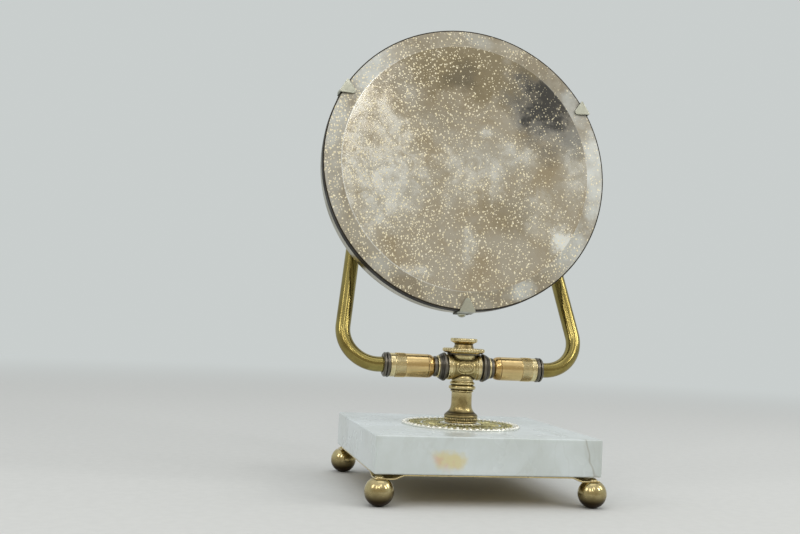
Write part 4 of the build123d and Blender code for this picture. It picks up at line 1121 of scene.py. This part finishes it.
def makeStem():
    stem = {"bottom": 46.82, "foot": 12.05, "beadTop": 53.2, "neck": 7.3, "flareTo": 62.7,
            "flareSteps": 14, "flareBend": 3.6, "top": 68.78, "bore": 5.15, "footDarkening": 0.62,
            "darkeningBelow": 56.0, "fade": 3.5, "Beads": 50, "Bead circle": 11.55, "Bead height": 49.5}
    bottom, foot, beadTop, neck, top = (stem[key] for key in ("bottom", "foot", "beadTop", "neck", "top"))
    corners = [(bottom, stem["bore"]), (bottom, foot - 0.7, 0.3), (bottom + 1.0, foot, 0.5),
               (bottom + 1.3, foot - 0.1, 0.15), (bottom + 1.5, foot - 0.8, 0.15),
               (bottom + 3.9, foot - 0.8, 0.15), (bottom + 4.1, foot - 0.05, 0.15),
               (beadTop - 1.2, foot - 0.1, 0.5), (beadTop, foot - 1.1, 0.5)]
    for step in range(1, stem["flareSteps"] + 1):
        part = step / stem["flareSteps"]
        height = beadTop + (stem["flareTo"] - beadTop) * part
        corners.append((height, neck + (foot - 1.3 - neck) * (1 - part) ** stem["flareBend"]))
    corners += [(top - 0.5, neck, 0.1), (top, neck - 0.3), (top, stem["bore"])]

    # The stem is darker towards its foot
    def footDarkening(along, radius, angle):
        return 0.0, stem["footDarkening"] * min(max((stem["darkeningBelow"] - along) / stem["fade"], 0), 1)

    base = toMesh("stemTurning", turnOutline(corners, segments=112, ripple=footDarkening))
    sizes = {"Beads": stem["Beads"], "Bead circle": stem["Bead circle"] * mm,
             "Bead height": stem["Bead height"] * mm}
    tree, start = startTree("stemTree", sizes)
    unit = spareUnit("stemBead", bead(0.5, 1.1, 1.1, 6, 10, sideways=True))
    branch = ringBranch(tree, unit, start["Beads"], start["Bead circle"], start["Bead height"])
    endTree(tree, [start["Geometry"], branch], finishes["cast_brass"])
    finishPiece(growMesh("turnedStem", tree, sizes, base), "base", "cast_brass", "stem")
    collar = [(68.82, 5.15), (68.82, 8.3, 0.3), (69.45, 8.3, 0.3), (69.6, 7.8, 0.1), (70.0, 7.85, 0.2),
              (70.5, 9.0, 0.4), (71.1, 9.6, 0.6), (72.3, 9.6, 0.6), (72.95, 9.0, 0.4), (73.3, 7.85, 0.2),
              (73.6, 7.85, 0.2), (73.95, 8.75, 0.3), (74.5, 8.95, 0.3), (75.1, 8.9, 0.35),
              (75.5, 8.3, 0.2), (76.08, 7.95, 0.2), (76.08, 5.15)]
    turnedPiece("stemCollar", collar, "base", "cast_brass", "stem_collar", segments=112)
    washer = [(76.12, 5.0), (76.12, 7.75, 0.3), (76.88, 7.75, 0.3), (76.88, 5.0)]
    turnedPiece("swivelWasher", washer, "base", "ring_brass", "swivel_washer")


makeLace()
makeStem()
print("column made")

# Hub: barrel with stepped rings, the sleeves beside it and the knob above

hubHeight = 85.95


def makeHubBody():
    hub = {"voxel": 0.3, "soften": 3, "barrel": 8.7, "half": 9.0, "shoulder": (5.6, 7.4),
           "shoulderBack": 2.0, "relief": 0.26, "line": 0.36, "reliefBack": 3.0, "reliefOut": 9.4,
           "frameWide": 6.1, "frameTall": 4.3, "frameWave": 0.3, "frameSteps": 90, "ribs": 4,
           "ribTall": 2.7, "ribGap": 1.08, "ribSlant": 0.9, "ribSteps": 8, "markDepth": 0.16,
           "markRounds": 14}
    shape = bmesh.new()
    shape.from_mesh(nodes["hub_body"].data)
    bmesh.ops.remove_doubles(shape, verts=shape.verts, dist=2e-6)
    body = newPiece("hubBarrel", toMesh("hubBarrel", shape, tidy=False))
    remesh = body.modifiers.new("castSkin", "REMESH")
    remesh.mode = "VOXEL"
    remesh.voxel_size = hub["voxel"] * mm
    remesh.use_smooth_shade = True
    smooth = body.modifiers.new("castSoft", "SMOOTH")
    smooth.iterations = hub["soften"]
    mesh = settle(body)
    # A low framed panel of slanted ribs, front and back, as (across, round) in millimetres
    border = []
    for step in range(hub["frameSteps"]):
        turn = 2 * math.pi * step / hub["frameSteps"]
        wide = hub["frameWide"] * abs(math.cos(turn)) ** 0.6
        tall = (hub["frameTall"] + hub["frameWave"] * math.cos(4 * turn)) * abs(math.sin(turn)) ** 0.7
        border.append(Vector((math.copysign(wide, math.cos(turn)), math.copysign(tall, math.sin(turn)))))
    spots = border
    for rib in range(-hub["ribs"], hub["ribs"] + 1):
        tall = hub["ribTall"] * math.sqrt(1 - (rib / (hub["ribs"] + 1)) ** 2)
        for step in range(-hub["ribSteps"], hub["ribSteps"] + 1):
            part = step / hub["ribSteps"]
            spots.append(Vector((rib * hub["ribGap"] + hub["ribSlant"] * part, tall * part)))
    inner, outer = hub["shoulder"]
    for vert in mesh.vertices:
        across, back, up = vert.co.x / mm, vert.co.y / mm, vert.co.z / mm - hubHeight
        radius = math.hypot(back, up)
        if abs(across) >= hub["half"]:
            continue
        # The block's sides are eased down into the barrel
        if radius > hub["barrel"] and abs(up) < outer and abs(back) > hub["shoulderBack"]:
            share = min(max((outer - abs(up)) / (outer - inner), 0), 1)
            scale = 1 - share * (1 - hub["barrel"] / radius)
            back, up, radius = back * scale, up * scale, radius * scale
            vert.co = Vector((vert.co.x, vert.co.y * scale, (hubHeight + up) * mm))
        if hub["barrel"] - 0.5 < radius < hub["reliefOut"] and abs(back) > hub["reliefBack"]:
            turn = math.asin(max(-1.0, min(1.0, up / radius)))
            place = Vector((across if back < 0 else -across, turn * hub["barrel"]))
            near = min((place - spot).length for spot in spots)
            scale = 1 + hub["relief"] * math.exp(-((near / hub["line"]) ** 2)) / radius
            vert.co = Vector((vert.co.x, vert.co.y * scale, (hubHeight + up * scale) * mm))
    markHollows(mesh, hub["markDepth"], hub["markRounds"])
    mesh.polygons.foreach_set("use_smooth", [True] * len(mesh.polygons))
    finishPiece(body, "hub", "cast_brass", "hub_body")


def makeHubRings():
    # Each is (along, radius, rounding), with along measured out from the stem's axis
    outlines = {
        "hub_band": ("ring_brass", "hub", [
            (9.32, 7.3), (9.32, 8.75, 0.3), (9.7, 9.1, 0.3), (11.8, 9.1, 0.3), (12.28, 8.7, 0.3),
            (12.28, 7.3),
        ]),
        "hub_ring": ("dark_metal", "hub", [
            (12.32, 7.3), (12.32, 8.3, 0.2), (13.1, 8.35, 0.2), (13.2, 8.9, 0.2), (13.5, 9.8, 0.4),
            (14.1, 10.1, 0.5), (15.1, 10.0, 0.4), (15.45, 9.65, 0.15), (15.7, 9.5, 0.15),
            (16.2, 9.4, 0.3), (17.0, 8.95, 0.3), (18.18, 8.2, 0.3), (18.18, 7.3),
        ]),
        "hub_trim": ("ring_brass", "hub", [
            (18.22, 5.0), (18.22, 7.6, 0.2), (18.55, 7.9, 0.25), (19.15, 7.9, 0.25), (19.48, 7.6, 0.2),
            (19.48, 5.0),
        ]),
        "brake_washer": ("dark_metal", "hub", [
            (19.52, 5.0), (19.52, 6.7, 0.3), (20.3, 7.3, 0.7), (21.4, 7.3, 0.7), (22.18, 6.7, 0.3),
            (22.18, 5.0),
        ]),
        "sleeve": ("sleeve_brass", "yoke", [
            (22.27, 5.1), (22.27, 6.2, 0.3), (23.0, 7.3, 0.8), (24.6, 8.15, 1.2), (26.35, 8.38, 0.4),
            (26.6, 8.38, 0.05), (26.72, 8.12, 0.05), (26.95, 8.12, 0.05), (27.07, 8.4, 0.05),
            (42.5, 8.4, 0.1), (42.83, 8.2, 0.1), (42.83, 7.6), (54.0, 7.6), (54.0, 5.5), (29.0, 5.5),
            (28.5, 5.1),
        ]),
        "sleeve_cap": ("ring_brass", "yoke", [
            (50.37, 7.62), (50.37, 8.2, 0.2), (50.7, 8.4, 0.2), (53.6, 8.4, 0.3), (54.03, 8.05, 0.3),
            (54.03, 7.62),
        ]),
        "end_ring": ("dark_metal", "yoke", [
            (54.07, 5.5), (54.07, 8.2, 0.3), (54.7, 8.85, 0.5), (55.9, 8.85, 0.5), (56.4, 8.35, 0.15),
            (56.7, 8.35, 0.15), (57.2, 8.75, 0.4), (57.9, 8.65, 0.5), (58.83, 7.6, 0.5), (58.83, 5.5),
        ]),
    }
    for sideName, side in sides.items():
        for node, (slot, body, corners) in outlines.items():
            words = node.split("_")
            name = words[0] + "".join(word.title() for word in words[1:]) + sideName.title()
            shape = turnOutline(corners, origin=(0, 0, hubHeight), axis=(side, 0, 0), segments=96)
            makePiece(name, shape, body, slot, f"{node}_{sideName}")


def makeGrips():
    grip = {"start": 42.87, "end": 50.33, "core": 8.38, "bore": 7.62, "Ridges": 84, "Ridge circle": 8.36,
            "ridge": 0.27, "ridgeWide": 0.42, "sink": -0.1}
    length = grip["end"] - grip["start"]
    unitShape = bmesh.new()
    hollow = unitShape.verts.layers.float.new("hollow")
    # How far along and how tall, then across the ridge: place, height and shade
    stations = ((0.02, 0.0), (0.5, 0.9), (length / 2, 1.0), (length - 0.5, 0.9), (length - 0.02, 0.0))
    section = ((-0.5, 0.0, 0.8), (-0.15, 1.0, -0.3), (0.15, 1.0, -0.3), (0.5, 0.0, 0.8))
    rows = []
    for along, tall in stations:
        row = []
        for across, rise, shade in section:
            lift = rise * grip["ridge"] * tall if rise > 0 else grip["sink"]
            vert = unitShape.verts.new(Vector((lift, across * grip["ridgeWide"], along)) * mm)
            vert[hollow] = shade
            row.append(vert)
        rows.append(row)
    for here, there in zip(rows, rows[1:]):
        for k in range(4):
            unitShape.faces.new((here[k], here[(k + 1) % 4], there[(k + 1) % 4], there[k]))
    unitShape.faces.new(rows[0])
    unitShape.faces.new(reversed(rows[-1]))
    unit = spareUnit("gripRidge", unitShape)
    core, bore = grip["core"], grip["bore"]
    corners = [(0.0, bore), (0.0, core - 0.15, 0.1), (0.3, core, 0.1), (length - 0.3, core, 0.1),
               (length, core - 0.15, 0.1), (length, bore)]
    sizes = {"Ridges": grip["Ridges"], "Ridge circle": grip["Ridge circle"] * mm}
    tree, start = startTree("gripTree", sizes)
    branch = ringBranch(tree, unit, start["Ridges"], start["Ridge circle"], 0.0)
    endTree(tree, [start["Geometry"], branch], finishes["ring_brass"])
    for sideName, side in sides.items():
        mesh = toMesh("gripCore", turnOutline(corners))
        piece = growMesh("gripBand" + sideName.title(), tree, sizes, mesh)
        shift = Matrix.Translation(Vector((side * grip["start"], 0, hubHeight)) * mm)
        piece.data.transform(shift @ Matrix.Rotation(side * math.pi / 2, 4, "Y"))
        finishPiece(piece, "yoke", "ring_brass", f"grip_band_{sideName}")


def makeKnob():
    spacer = [(95.07, 5.0), (95.07, 11.85, 0.3), (96.03, 11.85, 0.3), (96.03, 5.0)]
    turnedPiece("hubSpacer", spacer, "hub", "dark_metal", "spacer")
    flange = {"lobes": 44, "deep": 0.3, "from": 13.8, "shade": 0.7, "bright": 0.15}
    corners = [(96.12, 4.95), (96.12, 13.3, 0.3), (96.8, 14.4, 0.4), (97.4, 15.12, 0.5),
               (98.9, 15.12, 0.5), (99.3, 14.7, 0.3), (99.58, 14.2, 0.3), (99.58, 13.2, 0.1),
               (99.4, 12.9, 0.1), (99.4, 12.6, 0.1), (99.58, 12.3, 0.1), (99.58, 4.95)]

    def lobed(along, radius, angle):
        share = min(max(radius - flange["from"], 0), 1)
        wave = (0.5 - 0.5 * math.cos(angle * flange["lobes"])) ** 2
        return -flange["deep"] * share * wave, share * (flange["shade"] * wave - flange["bright"])

    turnedPiece("clampFlange", corners, "knob", "ring_brass", "clamp_flange",
                segments=flange["lobes"] * 8, ripple=lobed)
    corners = [(104.8, 0), (104.8, 4.95), (99.62, 4.95), (99.62, 7.6, 0.2), (99.95, 7.55, 0.15),
               (100.05, 7.2, 0.1), (102.2, 6.55, 0.6), (102.9, 6.8, 0.5), (103.4, 7.7, 0.4),
               (104.0, 9.1, 0.4), (104.5, 9.7, 0.3), (106.2, 9.7, 0.4), (106.68, 9.2, 0.3),
               (106.68, 8.4, 0.1), (106.5, 8.1, 0.1), (106.5, 7.8, 0.1), (106.68, 7.5, 0.1), (106.55, 0)]
    turnedPiece("clampKnob", corners, "knob", "ring_brass", "clamp_knob", closed=False, segments=112)


makeHubBody()
makeHubRings()
makeGrips()
makeKnob()
print("hub and knob made")

# Yoke arms


def tubePath(side, arm):
    # Points along the bent tube, each with its direction and its share of the bend, and the bend's axis
    backAngle, inAngle = math.radians(arm["leanBack"]), math.radians(arm["leanIn"])
    corner = Vector((side * arm["corner"], 0, hubHeight))
    begin = Vector((side * arm["start"], 0, hubHeight))
    first = Vector((side, 0, 0))
    second = Vector((-side * math.sin(inAngle), math.cos(inAngle) * math.sin(backAngle),
                     math.cos(inAngle) * math.cos(backAngle)))
    turn = first.angle(second)
    cut = arm["bend"] * math.tan(turn / 2)
    axis = first.cross(second).normalized()
    inwards = axis.cross(first)
    bendStart, upStart = corner - first * cut, corner + second * cut
    middle = bendStart + inwards * arm["bend"]
    levelSteps, bendSteps, upSteps = arm["steps"]
    stations = []
    for step in range(levelSteps + 1):
        stations.append((begin.lerp(bendStart, step / levelSteps), first, 0.0))
    for step in range(1, bendSteps + 1):
        part = step / bendSteps
        swing = Matrix.Rotation(turn * part, 3, axis)
        stations.append((middle + swing @ -inwards * arm["bend"], swing @ first,
                         math.sin(math.pi * part)))
    for step in range(1, upSteps + 1):
        stations.append((upStart + second * (arm["length"] - cut) * step / upSteps, second, 0.0))
    return stations, axis


def makeArms():
    arm = {"start": 30.05, "corner": 90.5, "leanBack": 23.0, "leanIn": 8.0, "bend": 25.0, "length": 128.0,
           "steps": (8, 36, 14), "radius": 5.38, "wall": 0.9, "round": 56, "flatten": 0.03,
           "tipSoften": 0.35}
    count = arm["round"]
    for sideName, side in sides.items():
        stations, axis = tubePath(side, arm)
        shape = bmesh.new()
        hollow = shape.verts.layers.float.new("hollow")
        turning = shape.loops.layers.uv.new("turning")
        lengths = [0.0]
        for one, two in zip(stations, stations[1:]):
            lengths.append(lengths[-1] + (two[0] - one[0]).length)
        walls = []
        for radius in (arm["radius"], arm["radius"] - arm["wall"]):
            rows = []
            for spot, along, bending in stations:
                sideways = along.cross(axis) * (1 - arm["flatten"] * bending)
                row = []
                for k in range(count):
                    angle = 2 * math.pi * k / count
                    spoke = axis * math.cos(angle) + sideways * math.sin(angle)
                    vert = shape.verts.new((spot + spoke * radius) * mm)
                    vert[hollow] = 0.0
                    row.append(vert)
                rows.append(row)
            walls.append(rows)
        for rows in walls:
            for index, (here, there) in enumerate(zip(rows, rows[1:])):
                for k in range(count):
                    after = (k + 1) % count
                    face = shape.faces.new((here[k], here[after], there[after], there[k]))
                    for loop, turns, far in zip(face.loops, (k, k + 1, k + 1, k), (0, 0, 1, 1)):
                        loop[turning].uv = (turns / count, lengths[index + far] * mm)
        for end in (0, -1):
            outer, inner = walls[0][end], walls[1][end]
            for k in range(count):
                after = (k + 1) % count
                shape.faces.new((outer[k], outer[after], inner[after], inner[k]))
        makePiece("yokeArm" + sideName.title(), shape, "yoke", "tube_brass", f"arm_{sideName}")
        softCopy("armTip" + sideName.title(), f"arm_tip_{sideName}", "yoke", "tube_brass",
                 arm["tipSoften"], segments=3)


makeArms()
print("yoke made")

# Mirror: glass, rim, pan, clips and pivots


def turnedOnMirror(name, corners, slot, node, **options):
    # Along is the depth behind the glass face
    turnedPiece(name, corners, "mirror", slot, node, origin=mirrorOrigin / mm, axis=-mirrorOut,
                up=mirrorUp, **options)


def makeMirror():
    start, outer = mirrorPlace["bevelStart"], mirrorPlace["glassRadius"]
    glass = [(0, 0), (0, start * 0.5), (0, start - 2.0), (0, start, 0.12), (1.3, outer - 0.1, 0.25),
             (4.9, outer - 0.05, 0.25), (4.9, 0)]
    turnedOnMirror("bevelledGlass", glass, "mirror_glass", "mirror_glass", closed=False, segments=224)
    rim = [(1.35, 106.32), (1.32, 106.6, 0.2), (1.4, 107.0, 0.3), (2.2, 107.12, 0.3), (8.6, 107.12, 0.4),
           (9.18, 106.7, 0.3), (9.18, 100.9), (5.05, 100.9), (5.05, 106.32)]
    turnedOnMirror("glassRim", rim, "rim_metal", "mirror_rim", segments=224)
    pan = [(21.0, 0), (21.0, 105.3, 1.5), (9.22, 105.3), (9.22, 106.25, 0.2), (21.98, 106.25, 2.5),
           (21.98, 95.5, 0.5), (21.5, 94.6, 0.5), (21.5, 92.2, 0.5), (21.98, 91.3, 0.5),
           (21.98, 47.5, 0.5), (21.5, 46.6, 0.5), (21.5, 44.2, 0.5), (21.98, 43.3, 0.5), (21.98, 0)]
    turnedOnMirror("backPan", pan, "pan_metal", "back_pan", closed=False, segments=192)
    for name, node in (("clipBottom", "clip_bottom"), ("clipTopLeft", "clip_top_left"),
                       ("clipTopRight", "clip_top_right")):
        clip = softCopy(name, node, "mirror", "clip_nickel", 0.28, segments=3)
        # A clip is made lighter on its face, and painted shade darkens it from there back along its side
        shades = clip.data.attributes.new("hollow", "FLOAT", "POINT")
        for vert, shade in zip(clip.data.vertices, shades.data):
            depth = (mirrorOrigin - vert.co).dot(mirrorOut) / mm + 0.6
            shade.value = -0.2 if depth < 0 else 0.5 * min(depth, 1.0)
    for sideName in sides:
        softCopy("pivotBracket" + sideName.title(), f"bracket_{sideName}", "mirror", "tube_brass", 0.25)


def makeClipScrews():
    screw = {"depth": 15.2, "start": 107.57, "radius": 3.15, "thick": 2.45, "shank": 1.5, "below": 2.6,
             "slotHalf": 0.35, "slotDeep": 0.7, "turns": ((-90, 0.5), (30, 1.9), (150, -0.7))}
    unit = slottedScrew("clipScrewUnit", screw)
    spots = []
    for turn, spin in screw["turns"]:
        angle = math.radians(turn)
        out = Vector((1, 0, 0)) * math.cos(angle) + mirrorUp * math.sin(angle)
        spots.append((mirrorOrigin + out * screw["start"] * mm - mirrorOut * screw["depth"] * mm, out,
                      spin))
    screws = placeCopies("clipScrews", unit, spots, finishes["clip_nickel"])
    finishPiece(screws, "mirror", "clip_nickel", "clip_screws")


def makeBracketScrews():
    screw = {"across": 70.74, "middle": -10.5, "spread": 10.0, "face": 23.6, "radius": 2.35,
             "thick": 1.35, "shank": 1.35, "below": 2.4, "slotHalf": 0.28, "slotDeep": 0.5,
             "rows": ((-1, 0.4), (1, 1.3)), "sideSpin": 0.3}
    unit = slottedScrew("bracketScrewUnit", screw)
    spots = []
    for side in sides.values():
        for rise, spin in screw["rows"]:
            height = screw["middle"] + rise * screw["spread"]
            local = Vector((side * screw["across"], 0, 0)) + mirrorUp * height
            spot = mirrorOrigin + local * mm - mirrorOut * screw["face"] * mm
            spots.append((spot, -mirrorOut, spin + side * screw["sideSpin"]))
    screws = placeCopies("bracketScrews", unit, spots, finishes["tube_brass"])
    finishPiece(screws, "mirror", "tube_brass", "bracket_screws")


def makePivots():
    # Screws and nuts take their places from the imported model
    head = {"radius": 3.8, "thick": 2.4, "shank": 2.0, "slotHalf": 0.4, "slotDeep": 0.75}
    nut = {"across": 7.0, "thick": 3.2, "bore": 2.05, "chamfer": 0.6, "spin": 0.5}
    for sideName, side in sides.items():
        low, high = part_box(f"pivot_screw_{sideName}")
        middle = (low + high) / 2
        reach = (high.x - low.x) / mm
        origin = Vector((high.x if side > 0 else low.x, middle.y, middle.z))
        radius, thick, shank = head["radius"], head["thick"], head["shank"]
        corners = [(0, 0), (0, radius * 0.6, 0.3), (0.35, radius * 0.9, 0.4), (1.0, radius, 0.3),
                   (thick, radius, 0.2), (thick, shank), (reach - 0.4, shank, 0.1), (reach, shank - 0.3),
                   (reach, 0)]
        shape = turnOutline(corners, segments=48, closed=False)
        bmesh.ops.remove_doubles(shape, verts=shape.verts, dist=1e-7)
        for vert in shape.verts:
            vert.co.z = -vert.co.z
        cutSlot(shape, head["slotHalf"], -head["slotDeep"])
        turn = Vector((side, 0, 0)).to_track_quat("Z", "Y").to_matrix().to_4x4()
        shape.transform(Matrix.Translation(origin) @ turn)
        makePiece("pivotScrew" + sideName.title(), shape, "mirror", "tube_brass",
                  f"pivot_screw_{sideName}")
        low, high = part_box(f"pivot_nut_{sideName}")
        middle = (low + high) / 2 / mm
        outer = (high.x if side > 0 else low.x) / mm
        shape = hexNut((outer, middle.y, middle.z), (-side, 0, 0), nut)
        makePiece("pivotNut" + sideName.title(), shape, "mirror", "tube_brass", f"pivot_nut_{sideName}")


makeMirror()
makeClipScrews()
makeBracketScrews()
makePivots()
print("mirror made")

# Hidden CAD parts that keep their own mesh and take a finish

keptNodes = {
    "backing_board": "board", "packing_disc": "board", "pivot_washers": "tube_brass",
    "nipple_left": "sleeve_brass", "nipple_right": "sleeve_brass",
}
for node, slot in keptNodes.items():
    nodes[node].data.materials.clear()
    nodes[node].data.materials.append(finishes[slot])

for unit in spareObjects:
    bpy.data.objects.remove(unit)
